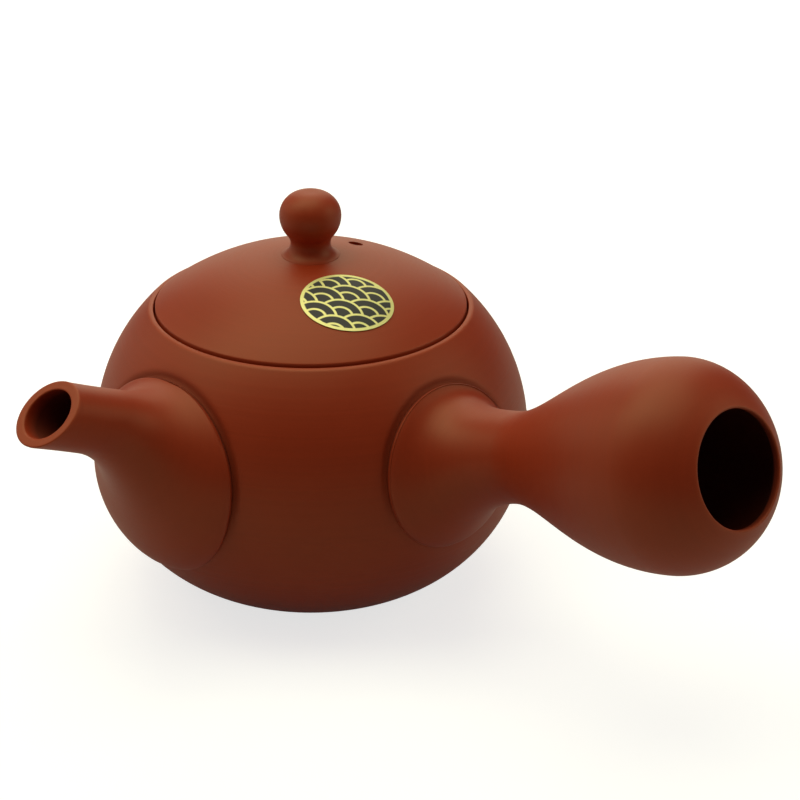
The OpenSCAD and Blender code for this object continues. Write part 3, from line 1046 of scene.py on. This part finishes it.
@dataclass(frozen=True)
class Root:
    """Flared root that is luted to the pot: a skirt on the wall that rises into a neck along a line.

    It is drawn towards +X, and "turn" then turns it in plan. The skirt's step is "step_top" high at the top
    and "step_low" at the bottom, and its lowest rings, which stand in the groove, get painted shade, one
    share a ring.
    """

    pot: Pot
    turn: float
    axis_h: float
    rise: float
    size: SkirtSize
    skirt_h: float
    step_top: float
    step_low: float
    aside: float = 0.0
    sides: int = 160
    sunk: float = 0.35
    groove_out: float = 0.45
    edge_soft: float = 0.4
    flare_steps: int = 64
    # Painted shade on the lowest rings of the skirt's step, one share a ring
    foot_painted_shade: tuple[float, ...] = (0.75, 0.6, 0.4, 0.15)

    @property
    def turns(self) -> Array:
        """Angles round the root, from the top over +Y."""
        return even_turns(self.sides)

    @property
    def line(self) -> Triple:
        """Direction of the rising line, turned in plan.

        Returns:
            Its three coordinates: (cos turn cos rise, sin turn cos rise, sin rise).
        """
        c, s = cos_sin(self.turn)
        level, up = cos_sin(self.rise)
        return (c * level, s * level, up)

    def section(self, along: Array, r: Array) -> Array:
        """Ring round the rising line: (0, 0, axis_h) + along u + r (w cos a + y sin a).

        Args:
            along: Length along the line u, one number or one for each angle, or rows of these.
            r: Radius of the ring, in the same way.

        Returns:
            The points of the ring, or of each row's ring.
        """
        c, s = cos_sin(self.rise)
        t, r, a = np.broadcast_arrays(along, r, self.turns)
        up = r * np.cos(a)
        return np.stack([t * c - up * s, r * np.sin(a), self.axis_h + t * s + up * c], axis=-1)

    def round_root(self, top: float, low: float) -> Array:
        """Value at each angle that is "top" at the top and "low" at the bottom."""
        return low + (top - low) * (1 + np.cos(self.turns)) / 2

    def skirt(self, size: SkirtSize, h: float, rise: Array, aside: float = 0.0) -> Array:
        """Ring on the pot's wall: an oval in the Y and Z plane, carried onto the wall.

        Args:
            size: Half width, upper and lower half height of the oval.
            h: Height of its middle.
            rise: Distance above the wall.
            aside: Offset of its middle along Y.

        Returns:
            The points of the ring.
        """
        c = np.cos(self.turns)
        up = np.where(c > 0, size.upper, size.lower) * c
        side = aside + size.wide * np.sin(self.turns)
        return self.pot.on_wall(side, h + up, np.broadcast_to(rise, c.shape))

    def flare(self, edge: Array, swell: float, hug: float, foot: Array, join: Array, count: int) -> Array:
        """Rings of cubic curves that leave a skirt along the pot and end along the neck's line.

        The second control point stands over the pot's wall, a share "hug" of the way to the foot ring, at a
        height of "swell" times the distance between the skirt and that ring.

        Args:
            edge: Ring at the skirt.
            swell: Height over the wall as a share of the distance.
            hug: Share of the way over which the flare follows the pot.
            foot: Ring of the third control points.
            join: Ring of the flare's end.
            count: Number of steps.

        Returns:
            The rings, from the skirt to the neck.
        """
        near = edge + hug * (foot - edge)
        lift = self.pot.lute_gap + swell * np.linalg.norm(foot - edge, axis=1)
        lifted = self.pot.on_wall(near[:, 1], near[:, 2], lift)
        s = np.linspace(0, 1, count + 1)[:, None, None]
        return cubic(edge, lifted, foot, join, s)

    def groove(self) -> Groove:
        """Groove round the skirt."""
        return Groove(self.turn, self.skirt_h, self.size.grown(self.groove_out), self.aside)

    def skirted(self, swell: float, hug: float, foot: Array, join: Array) -> tuple[Array, Array]:
        """Outside of the root: the skirt's step, which stands in the groove, a rounded edge and the flare.

        Args:
            swell: Height of the flare over the wall as a share of the distance.
            hug: Share of the way over which the flare follows the pot.
            foot: Ring of the flare's third control points.
            join: Ring of the flare's end.

        Returns:
            The rings from the wall to the neck, and the painted shade of each point of them, high where it
            lies in the groove.
        """
        step = self.round_root(self.step_top, self.step_low)
        edge = self.skirt(self.size, self.skirt_h, step, self.aside)
        flare = self.flare(edge, swell, hug, foot, join, self.flare_steps)
        low = self.pot.lute_gap - self.round_root(self.sunk, 0)
        base = self.skirt(self.size, self.skirt_h, low, self.aside)
        rounded = softened(flare[0], base, flare[2], self.edge_soft)
        rings = np.concatenate([base[None], rounded, flare[2:]])
        # Painted shade: the lowest rings darken where they stand in the groove, fading towards the bottom
        depth = np.zeros(len(rings))
        depth[: len(self.foot_painted_shade)] = self.foot_painted_shade
        return rings, depth[:, None] * fade_down(np.cos(self.turns))

    def underside(self, r: float, h: float, count: int = 8) -> Array:
        """Rings under the root, from a hollow of radius r at height h out to the skirt, just above the pot.

        Args:
            r: Radius of the hollow on the wall.
            h: Height of its middle.
            count: Number of steps.

        Returns:
            The rings, without the first and the last.
        """
        rows = []
        for k in np.arange(1, count) / count:
            middle = h + (self.skirt_h - h) * k
            rows.append(self.skirt(self.size.towards(r, k), middle, self.pot.lute_gap, self.aside * k))
        return np.stack(rows)


@dataclass(frozen=True)
class Spout:
    """Short tube with an oblique mouth on a wide flared root, which runs further out below than above."""

    root: Root
    reach: float = 80.2
    radius: float = 6.95
    waist: float = 71.0
    curve_r: float = 400.0
    wall: float = 1.75
    lean: float = 26.0
    root_top: float = 62.0
    root_low: float = 70.4
    bend_top: float = 11.0
    bend_low: float = 16.9
    swell: float = 0.3
    hug: float = 0.27
    hollow_hug: float = 0.45
    lip: float = 0.35
    lip_wear: float = 0.7
    hole_r: float = 10.0
    tube_rings: int = 24
    bore_rings: int = 22
    hollow_steps: int = 28
    # Rings over which the painted shade inside the mouth comes in
    painted_shade_rings: int = 5

    def side(self, t: Array) -> Array:
        """Outer radius along the line: radius + R - sqrt(R^2 - (t - waist)^2)."""
        return self.radius + self.curve_r - np.sqrt(self.curve_r**2 - (t - self.waist) ** 2)

    def mouth_at(self, r: Array, back: Array) -> Array:
        """Length along the line to the leaning mouth, or behind it: reach - back - r cos a tan(lean)."""
        return self.reach - back - r * np.cos(self.root.turns) * math.tan(math.radians(self.lean))

    def mouth(self, r: Array, back: Array) -> Array:
        """Rings in the plane of the mouth or behind it.

        Args:
            r: Radius of each ring.
            back: Distance of each ring behind the mouth.

        Returns:
            The points of the rings.
        """
        r = np.asarray(r, float)[..., None]
        back = np.asarray(back, float)[..., None]
        return self.root.section(self.mouth_at(r, back), r)

    def build(self) -> bpy.types.Object:
        """Skins the flare, the tube, the softened mouth, the bore and the hollow of the root.

        The tube's sections run evenly, at each angle, from the root's end to the mouth.

        Returns:
            The spout.
        """
        root = self.root
        bore = self.radius - self.wall
        lip_r = float(self.side(self.reach))
        ends = root.round_root(self.root_top, self.root_low)
        foot = ends - root.round_root(self.bend_top, self.bend_low)
        start = root.section(ends, self.side(ends))
        outer, painted_foot_shade = root.skirted(self.swell, self.hug, root.section(foot, self.radius), start)
        share = np.linspace(0, 1, self.tube_rings + 2)[1:-1, None]
        t = ends + share * (self.mouth_at(lip_r, self.lip) - ends)
        tube = root.section(t, self.side(t))
        q = np.linspace(0, math.pi / 2, 6)
        lip_out = lip_r - self.lip * (1 - np.cos(q))
        lip_in = bore + self.lip * (1 - np.sin(q))
        land = np.linspace(lip_out[-1], lip_in[0], 5)[1:-1]
        lip = self.mouth(
            np.concatenate([lip_out, land, lip_in]),
            np.concatenate([self.lip * (1 - np.sin(q)), 0 * land, self.lip * (1 - np.cos(q))]),
        )
        inner_end = self.mouth(bore, self.lip)
        inner_start = root.section(ends, bore)
        share = np.linspace(0, 1, self.bore_rings + 2)[1:-1, None, None]
        inner = inner_end + share * (inner_start - inner_end)
        hole = root.skirt(SkirtSize.round(self.hole_r), root.pot.pour_h, root.pot.lute_gap)
        inner_foot = root.section(foot, bore)
        hollow = root.flare(hole, 0.0, self.hollow_hug, inner_foot, inner_start, self.hollow_steps)[::-1]
        under = root.underside(self.hole_r, root.pot.pour_h)
        rings = np.concatenate([outer, tube, lip, inner, hollow, under])
        first = len(outer) + len(tube)
        within = first + len(lip)
        wear = np.zeros(rings.shape[:2])
        wear[first:within] = self.lip_wear
        # Painted shade: the skirt's foot in the groove, and the inside darkening over the first rings, then
        # fully dark
        mark = np.zeros(rings.shape[:2])
        mark[: len(outer)] = painted_foot_shade
        mark[within:] = np.clip(np.arange(len(rings) - within) / self.painted_shade_rings, 0, 1)[:, None]
        return lofted("spout_shell", rings, wear, mark, root.turn)

    def dress(self) -> None:
        """Builds the spout and gives it clay with rings along its line."""
        finish = ClayFinish("spout_clay", Turned.LINE, self.root.line, ring_spacing=1.2, ring_depth=0.5)
        dress(self.build(), finish.material(), Body.POT, Slot.CLAY, "spout")


@dataclass(frozen=True)
class Handle:
    """Hollow gourd-shaped handle: a flared root, a neck, a bulb and an open end with a crisp edge."""

    root: Root
    neck_r: float = 9.5
    neck_at: float = 63.9
    neck_hold: float = 10.6
    crest_r: float = 21.3
    crest_at: float = 107.3
    crest_hold: float = 19.8
    end_r: float = 18.0
    end_run: float = 17.2
    open_r: float = 11.6
    open_edge: float = 1.7
    open_lip: float = 0.7
    end_lean: float = 3.0
    wall: float = 2.8
    bend_top: float = 18.0
    bend_low: float = 14.0
    swell: float = 0.27
    hug: float = 0.2
    rub: float = 0.4
    # Length over which painted shade comes in behind the open edge
    painted_shade_over: float = 1.6
    side_steps: int = 72
    hollow_steps: int = 24

    def profile(self) -> Array:
        """Half section of the bulb as radius and length: a cubic, the end's oval, the hole's edge, and back.

        The inside is the outside moved in by the wall, square to the side.

        Returns:
            Radius and length of each point, from the neck outside to the neck inside.
        """
        p = np.array(
            [
                [self.neck_r, self.neck_at],
                [self.neck_r, self.neck_at + self.neck_hold],
                [self.crest_r, self.crest_at - self.crest_hold],
                [self.crest_r, self.crest_at],
            ]
        )
        s = np.linspace(0, 1, self.side_steps + 1)[:, None]
        side = cubic(*p, s)
        run = (1 - s) ** 2 * (p[1] - p[0]) + 2 * s * (1 - s) * (p[2] - p[1]) + s**2 * (p[3] - p[2])
        run /= np.linalg.norm(run, axis=1, keepdims=True)
        within = side + self.wall * np.stack([-run[:, 1], run[:, 0]], axis=1)
        mid = (self.crest_r - self.end_r, self.crest_at)
        open_a = math.degrees(math.acos((self.open_r + self.open_lip - mid[0]) / self.end_r))
        within_r = self.end_r - self.wall
        within_a = math.degrees(math.acos((self.open_r - mid[0]) / within_r))
        back = self.open_at - self.open_edge
        within_run = (back - self.crest_at) / math.sin(math.radians(within_a))
        return (
            Outline()
            .run(side[1:-1])
            .run(oval(mid, self.end_r, self.end_run, 0, open_a, 0.5))
            .to(self.open_r, self.open_at, self.open_lip)
            .to(self.open_r, back, 0.4)
            .run(oval(mid, within_r, within_run, within_a - 2.5, 0, 0.8)[:-1])
            .run(within[1:-1][::-2])
            .points(1.2)
        )

    @property
    def open_at(self) -> float:
        """Length along the line at which the end's oval, run on straight, meets the hole's wall.

        Returns:
            The length in millimetres.
        """
        c = (self.open_r + self.open_lip - self.crest_r + self.end_r) / self.end_r
        s = math.sqrt(1 - c * c)
        return self.crest_at + self.end_run * (s + self.open_lip * c / (self.end_r * s))

    def build(self) -> bpy.types.Object:
        """Skins the flare, the bulb, the lip and the hollow. Past the crest the sections lean a little.

        Returns:
            The handle.
        """
        root = self.root
        bore = self.neck_r - self.wall
        hole_h = root.axis_h + root.pot.belly_r * math.sin(math.radians(root.rise))
        foot_at = self.neck_at - root.round_root(self.bend_top, self.bend_low)
        foot = root.section(foot_at, self.neck_r)
        neck = root.section(self.neck_at, self.neck_r)
        outer, painted_foot_shade = root.skirted(self.swell, self.hug, foot, neck)
        hole = root.skirt(SkirtSize.round(bore), hole_h, root.pot.lute_gap)
        foot = root.section(self.neck_at - self.bend_low, bore)
        neck = root.section(self.neck_at, bore)
        hollow = root.flare(hole, 0.0, self.hug, foot, neck, self.hollow_steps)[::-1]
        line = self.profile()
        share = np.maximum(0, line[:, 1] - self.crest_at) / (self.open_at - self.crest_at)
        slope = np.tan(np.radians(self.end_lean * share))[:, None]
        r = line[:, :1]
        bulb = root.section(line[:, 1:] - r * np.cos(root.turns) * slope, r)
        rings = np.concatenate([outer, bulb, hollow, root.underside(bore, hole_h)])
        on_bulb = slice(len(outer), len(outer) + len(line))
        wear = np.zeros(rings.shape[:2])
        wear[on_bulb] = near_edge(line[:, 1] - self.open_at, self.rub)[:, None]
        # Painted shade: the inside darkens over a short length behind the open edge; the hollow and underside
        # are fully dark
        behind = np.clip((self.open_at - line[:, 1]) / self.painted_shade_over, 0, 1)
        behind[: int(np.argmax(line[:, 1]))] = 0
        mark = np.ones(rings.shape[:2])
        mark[: len(outer)] = painted_foot_shade
        mark[on_bulb] = behind[:, None]
        return lofted("handle_shell", rings, wear, mark, root.turn)

    def dress(self) -> None:
        """Builds the handle and gives it clay with rings along its line."""
        finish = ClayFinish("handle_clay", Turned.LINE, self.root.line, ring_spacing=1.6, ring_depth=0.5)
        dress(self.build(), finish.material(), Body.POT, Slot.CLAY, "handle")


@dataclass(frozen=True)
class Strainer:
    """Pierced dome inside the pot, which keeps its solid's shape."""

    def dress(self, frame: dict) -> None:
        """Gives the solid a clay finish of its own.

        Args:
            frame: The loaded frame.
        """
        finish = ClayFinish("strainer_clay", Turned.RADIUS, ring_spacing=1.5, ring_depth=0.3)
        node = frame["nodes"]["strainer"]
        node.data.materials.clear()
        node.data.materials.append(finish.material())
        LOG.info("strainer keeps its solid")


# The lid and what is fixed to it


@dataclass(frozen=True)
class Lid:
    """Drop-in lid: a dome that rolls into an upright edge, and a collar that goes down inside the seat."""

    radius: float = 33.4
    base_h: float = 59.15
    edge_h: float = 2.85
    edge_r: float = 0.4
    rise: float = 11.5
    thick: float = 3.0
    collar_r: float = 29.7
    collar_t: float = 2.8
    collar_h: float = 8.5
    vent_out: float = 13.5
    vent_r: float = 1.6
    vent_deep: float = 20.0
    rub: float = 0.5
    rub_wide: float = 0.5
    rub_at: tuple[float, float] = (-0.2, 0.3)
    sides: int = 256

    @property
    def side_h(self) -> float:
        """Height at which the upright edge ends."""
        return self.base_h + self.edge_h

    @property
    def crown_h(self) -> float:
        """Height of the top of the dome."""
        return self.side_h + self.rise

    @property
    def dome_r(self) -> float:
        """Radius of the dome that touches the edge's rounding from outside."""
        flat = self.radius - self.edge_r
        return (flat**2 + self.rise**2 - self.edge_r**2) / (2 * (self.rise - self.edge_r))

    @property
    def dome_h(self) -> float:
        """Height of the middle of the dome's sphere."""
        return self.crown_h - self.dome_r

    def outline(self) -> Array:
        """Half section of the lid, from the middle of its hollow round the collar and the edge to the crown.

        Returns:
            Radius and height of each point.
        """
        flat = self.radius - self.edge_r
        end_a = math.degrees(math.atan2(self.side_h - self.dome_h, flat))
        under = self.dome_r - self.thick
        inner = self.collar_r - self.collar_t
        under_a = math.degrees(math.acos(inner / under))
        low = self.base_h - self.collar_h
        return (
            Outline()
            .run(arc((0, self.dome_h), under, 90, under_a + 1.5, 0.8))
            .to(inner, self.dome_h + under * math.sin(math.radians(under_a)), 1.2)
            .to(inner, low, 0.7)
            .to(self.collar_r, low, 0.7)
            .to(self.collar_r, self.base_h, 0.5)
            .to(self.radius, self.base_h, 0.5)
            .run(arc((flat, self.side_h), self.edge_r, 0, end_a, 0.12))
            .run(arc((0, self.dome_h), self.dome_r, end_a, 90)[1:])
            .points()
        )

    def build(self) -> bpy.types.Object:
        """Turns the outline and cuts the steam hole.

        Returns:
            The lid.
        """
        line = self.outline()
        edge = (self.radius + self.rub_at[0], self.side_h + self.rub_at[1])
        worn = self.rub * rubbed(line, edge, self.rub_wide)
        piece = turned("lid_dome", line, worn, even_turns(self.sides))
        start = Vector((self.vent_out, 0, self.side_h))
        drilled(piece, start, start + Vector((0, 0, self.vent_deep)), self.vent_r)
        return piece

    def dress(self) -> None:
        """Builds the lid and gives it clay with rings round its crown."""
        finish = ClayFinish("lid_clay", Turned.RADIUS, ring_spacing=1.1, ring_depth=0.6)
        dress(self.build(), finish.material(), Body.LID, Slot.CLAY, "lid")


@dataclass(frozen=True)
class Knob:
    """Ball knob with a flattened cap, on a waist that runs out into the dome."""

    lid: Lid
    ball_r: float = 6.6
    cap_h: float = 5.2
    top: float = 13.75
    hollow_r: float = 2.8
    gap: float = 0.02
    foot_open: float = 10.0
    sides: int = 128

    def build(self) -> bpy.types.Object:
        """Turns the cap's arc, the ball's lower half and the hollow that touches both the ball and the dome.

        The hollow's middle is where circles about the ball's and the dome's middles meet, each larger than
        its own by the hollow's radius. The foot ends a few degrees before the hollow touches the dome.

        Returns:
            The knob.
        """
        lid = self.lid
        ball_h = lid.crown_h + self.top - self.cap_h
        apart = ball_h - lid.dome_h
        dome_reach = lid.dome_r + self.hollow_r
        ball_reach = self.ball_r + self.hollow_r
        up = (dome_reach**2 - ball_reach**2 + apart**2) / (2 * apart)
        out = math.sqrt(dome_reach**2 - up**2)
        waist_a = math.degrees(math.atan2(up - apart, out))
        foot_a = 180 + math.degrees(math.atan2(up, out)) - self.foot_open
        hollow = arc((out, lid.dome_h + up), self.hollow_r, foot_a, 180 + waist_a, 0.15)
        sphere = lid.dome_r + self.gap
        under_a = math.degrees(math.acos(float(hollow[0, 0]) / sphere))
        line = (
            Outline()
            .run(arc((0, lid.dome_h), sphere, 90, under_a, 0.4))
            .run(hollow)
            .run(arc((0, ball_h), self.ball_r, waist_a, 0, 0.25)[1:])
            .run(arc((self.ball_r - self.cap_h, ball_h), self.cap_h, 0, 90, 0.25)[1:])
            .run(np.array([[0, ball_h + self.cap_h]]))
            .points(0.3)
        )
        return turned("knob_ball", line, np.zeros(len(line)), even_turns(self.sides))

    def dress(self) -> None:
        """Builds the knob and gives it clay with level rings."""
        finish = ClayFinish("knob_clay", Turned.HEIGHT, ring_spacing=1.0, ring_depth=0.4)
        dress(self.build(), finish.material(), Body.LID, Slot.CLAY, "lid_knob")


@dataclass(frozen=True)
class Label:
    """Oval paper label on the dome, black with a gold border and a traditional pattern of waves."""

    lid: Lid
    half_w: float = 9.9
    half_h: float = 8.65
    spin: float = -14.6
    thick: float = 0.15
    glue: float = 0.06
    out: float = 19.7
    turn: float = -111.0
    wave_r: float = 5.0
    wave_lines: tuple[float, float] = (0.945, 0.5)
    stroke: float = 0.55
    border: float = 0.72
    soft: float = 0.08
    print_turn: float = 155.5
    cells: int = 220

    def disc(self) -> tuple[Array, Array]:
        """Grid of a square carried onto an oval: each square ring becomes an oval of the same share.

        Returns:
            Two coordinates on the oval, in millimetres, as square arrays. The second runs along its width.
        """
        side = np.linspace(-1, 1, self.cells + 1)
        a, b = np.meshgrid(side, side, indexing="ij")
        wide = np.abs(a) >= np.abs(b)
        r = np.where(wide, a, b)
        other = np.where(wide, b, a)
        safe = np.where(r == 0, 1, r)
        angle = math.pi / 4 * other / safe
        x = np.where(wide, r * np.cos(angle), r * np.sin(angle))
        y = np.where(wide, r * np.sin(angle), r * np.cos(angle))
        return x * self.half_h, y * self.half_w

    def printed(self, inside: Array) -> Array:
        """Gold at a distance inside the edge of a stroke, with a soft edge: d / soft + 1/2, from 0 to 1."""
        return np.clip(inside / self.soft + 0.5, 0, 1)

    def gilt(self, x: Array, y: Array) -> Array:
        """Gold of the print: a border, and rows of overlapping half circles, each with two gold lines.

        A point belongs to the lowest row whose circle holds it, and its gold depends on its distance from
        that circle's middle.

        Args:
            x: First coordinate on the oval.
            y: Second coordinate on the oval.

        Returns:
            A number from 0 to 1 at each point.
        """
        r = self.wave_r
        share = np.hypot(x / self.half_h, y / self.half_w)
        slope = np.hypot(x / self.half_h**2, y / self.half_w**2) / np.maximum(share, 1e-6)
        edge = (1 - share) / np.maximum(slope, 1e-6)
        c, s = cos_sin(self.print_turn)
        x, y = x * s - y * c, x * c + y * s
        row = np.floor(y / (r / 2))
        gold = np.zeros_like(x)
        taken = np.zeros(x.shape, bool)
        for back in range(-2, 2):
            k = row + back
            shift = np.where(k % 2 == 0, 0.0, r)
            mid = np.round((x - shift) / (2 * r)) * 2 * r + shift
            d = np.hypot(x - mid, y - k * r / 2)
            here = (d <= r) & ~taken
            off_line = np.minimum.reduce([np.abs(d - at * r) for at in self.wave_lines])
            gold = np.where(here, self.printed(self.stroke / 2 - off_line), gold)
            taken |= here
        return np.maximum(gold, self.printed(self.border - edge))

    def build(self) -> bpy.types.Object:
        """Bends the oval over the dome: each point keeps its place square to the label's middle line.

        The upper skin lies on the sphere of the dome grown by glue and paper, the lower skin on that grown by
        the glue, and the rims of both skins are joined.

        Returns:
            The label.
        """
        x, y = self.disc()
        gold = self.gilt(x, y).ravel()
        c, s = cos_sin(self.spin)
        x, y = x * c - y * s, x * s + y * c
        skins = []
        for grow in (self.glue + self.thick, self.glue):
            sphere = self.lid.dome_r + grow
            z = np.sqrt(sphere**2 - x**2 - y**2)
            skins.append(np.stack([x, y, z], axis=-1).reshape(-1, 3))
        lean = math.asin(self.out / self.lid.dome_r)
        spin = np.array(Matrix.Rotation(math.radians(self.turn), 3, "Z") @ Matrix.Rotation(lean, 3, "Y"))
        points = np.concatenate(skins) @ spin.T + [0, 0, self.lid.dome_h]
        n = self.cells + 1
        i, j = np.meshgrid(np.arange(n - 1), np.arange(n - 1), indexing="ij")
        base = (i * n + j).ravel()
        top = np.stack([base, base + n, base + n + 1, base + 1], axis=1)
        low = top[:, ::-1] + n * n
        k = np.arange(n - 1)
        rim = np.concatenate([k * n, (n - 1) * n + k, n * n - 1 - k * n, n - 1 - k])
        after = np.roll(rim, -1)
        side = np.stack([rim, rim + n * n, after + n * n, after], axis=1)
        both = np.concatenate([gold, np.zeros_like(gold)])
        piece = make_mesh("label_paper", points, np.concatenate([top, low, side]), gilt=both)
        piece.data.set_sharp_from_angle(angle=SHARP)
        return piece

    def dress(self) -> None:
        """Builds the label and prints it."""
        dress(self.build(), LabelFinish().material(), Body.LID, Slot.LABEL, "lid_label")


# Studio


@dataclass(frozen=True)
class Camera:
    """Camera at the photograph's angle, aimed beside the pot's axis. Only "clip_near" is in metres."""

    plan: float = 224.5
    elevation: float = 24.493
    distance: float = 669.96
    aim_right: float = 19.163
    aim_h: float = 39.064
    lens: float = 138.55
    roll: float = 0.235
    sensor: float = 36.0
    clip_near: float = 0.01

    def place(self) -> None:
        """Makes the scene's camera from its angles."""
        c, s = cos_sin(self.plan)
        level, rise = cos_sin(self.elevation)
        across = Vector((-s, c, 0))
        back = Vector((c * level, s * level, rise))
        up = back.cross(across)
        c, s = cos_sin(self.roll)
        right, up = across * c + up * s, up * c - across * s
        aim = across * self.aim_right + Vector((0, 0, self.aim_h))
        eye = (aim + back * self.distance) * MM
        data = bpy.data.cameras.new("photo_camera")
        data.lens = self.lens
        data.sensor_width = self.sensor
        data.clip_start = self.clip_near
        made = bpy.data.objects.new("photo_camera", data)
        made.matrix_world = Matrix.Translation(eye) @ Matrix((right, up, back)).transposed().to_4x4()
        bpy.context.scene.collection.objects.link(made)
        bpy.context.scene.camera = made


@dataclass(frozen=True)
class SoftBox:
    """One square area lamp, in metres and watts."""

    name: str
    at: Triple
    size: float
    power: float
    tint: Triple = (1.0, 0.98, 0.72)
    aim: Triple = (0.0, 0.0, 0.04)

    def place(self) -> None:
        """Makes the lamp and turns it to its aim."""
        data = bpy.data.lights.new(self.name, "AREA")
        data.shape = "SQUARE"
        data.size = self.size
        data.energy = self.power
        data.color = self.tint
        made = bpy.data.objects.new(self.name, data)
        made.location = self.at
        made.rotation_euler = (Vector(self.aim) - Vector(self.at)).to_track_quat("-Z", "Y").to_euler()
        bpy.context.scene.collection.objects.link(made)


@dataclass(frozen=True)
class Studio:
    """Pale floor, sized in millimetres, a white surround and soft lamps."""

    floor_r: float = 4000.0
    floor_hub: float = 20.0
    floor_h: float = -0.3
    floor_rings: int = 24
    floor_sides: int = 96
    floor_tone: float = 0.56
    floor_glow: float = 0.72
    floor_sheen: float = 0.1
    ambient: float = 0.09
    lamps: tuple[SoftBox, ...] = (
        SoftBox("overhead", (0.0, 0.0, 0.95), 0.8, 2.85),
        SoftBox("overhead_back", (0.4, 0.4, 0.8), 0.8, 1.7),
        SoftBox("overhead_left", (-0.35, 0.35, 0.8), 0.6, 1.8),
        SoftBox("left", (-0.65, 0.65, 0.45), 0.7, 0.7),
        SoftBox("right", (0.65, -0.65, 0.45), 0.7, 1.5),
        SoftBox("back_left", (-0.2, 0.9, 0.35), 0.6, 0.6),
        SoftBox("back", (0.7, 0.7, 0.4), 0.9, 2.5),
    )

    def floor_mesh(self) -> bpy.types.Object:
        """Flat disc of rings (r cos a, r sin a, floor_h) round a hub.

        Returns:
            The floor.
        """
        sides = self.floor_sides
        a = even_turns(sides)
        r = np.linspace(self.floor_hub, self.floor_r, self.floor_rings)[:, None]
        flat = np.broadcast_arrays(r * np.cos(a), r * np.sin(a), self.floor_h)
        rings = np.stack(flat, axis=-1).reshape(-1, 3)
        points = np.concatenate([rings, [[0, 0, self.floor_h]]])
        i = np.arange(sides)
        hub = np.stack([np.full(sides, len(rings)), i, (i + 1) % sides], axis=1)
        return make_mesh("studio_floor", points, grid_quads(self.floor_rings, sides, False)[:, ::-1], hub)

    def floor(self) -> None:
        """Makes a pale floor that the camera sees near white and that keeps the object's shadow."""
        piece = self.floor_mesh()
        made = bpy.data.materials.new("pale_floor")
        w = emptied(made)
        tone = self.floor_tone
        lit = w.feed_all(w.node("ShaderNodeBsdfDiffuse"), {"Color": (tone, tone, tone, 1)})
        glow = w.feed_all(w.node("ShaderNodeEmission"), {"Strength": self.floor_glow})
        path = w.node("ShaderNodeLightPath").outputs
        share = w.weighted(path["Is Camera Ray"], (path["Is Glossy Ray"], self.floor_sheen))
        add = w.node("ShaderNodeAddShader")
        w.join(lit.outputs[0], add.inputs[0])
        w.join(glow.outputs[0], add.inputs[1])
        pick = w.node("ShaderNodeMixShader")
        w.join(share, pick.inputs[0])
        w.join(lit.outputs[0], pick.inputs[1])
        w.join(add.outputs[0], pick.inputs[2])
        w.join(pick.outputs[0], w.node("ShaderNodeOutputMaterial").inputs["Surface"])
        piece.data.materials.append(made)

    def surround(self) -> None:
        """Sets a world that is white to the camera and dim to everything else."""
        world = bpy.data.worlds.new("studio_surround")
        bpy.context.scene.world = world
        w = emptied(world)
        shade = w.node("ShaderNodeBackground")
        seen = w.node("ShaderNodeLightPath").outputs["Is Camera Ray"]
        w.feed(shade.inputs["Strength"], w.weighted(self.ambient, (seen, 1.0 - self.ambient)))
        w.join(shade.outputs[0], w.node("ShaderNodeOutputWorld").inputs["Surface"])

    def place(self) -> None:
        """Makes the floor, the surround and the lamps."""
        self.floor()
        self.surround()
        for lamp in self.lamps:
            lamp.place()


def main() -> None:
    """Builds every piece over the frame."""
    logging.basicConfig(level=logging.INFO, format="%(name)s: %(message)s")
    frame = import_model()
    bpy.context.scene.view_settings.view_transform = "Standard"
    Camera().place()
    Studio().place()
    pot = Pot()
    spout_root = Root(
        pot,
        turn=180.0,
        axis_h=26.4,
        rise=24.3,
        size=SkirtSize(wide=20.3, upper=19.5, lower=21.0),
        skirt_h=36.2,
        step_top=0.9,
        step_low=1.1,
        sides=144,
    )
    handle_root = Root(
        pot,
        turn=270.0,
        axis_h=27.8,
        rise=16.4,
        size=SkirtSize.round(17.0),
        skirt_h=38.4,
        step_top=1.0,
        step_low=0.35,
        aside=-2.2,
    )
    pot.dress(spout_root.groove(), handle_root.groove())
    Spout(spout_root).dress()
    Handle(handle_root).dress()
    Strainer().dress(frame)
    lid = Lid()
    lid.dress()
    Knob(lid).dress()
    Label(lid).dress()


if __name__ == "__main__":
    main()
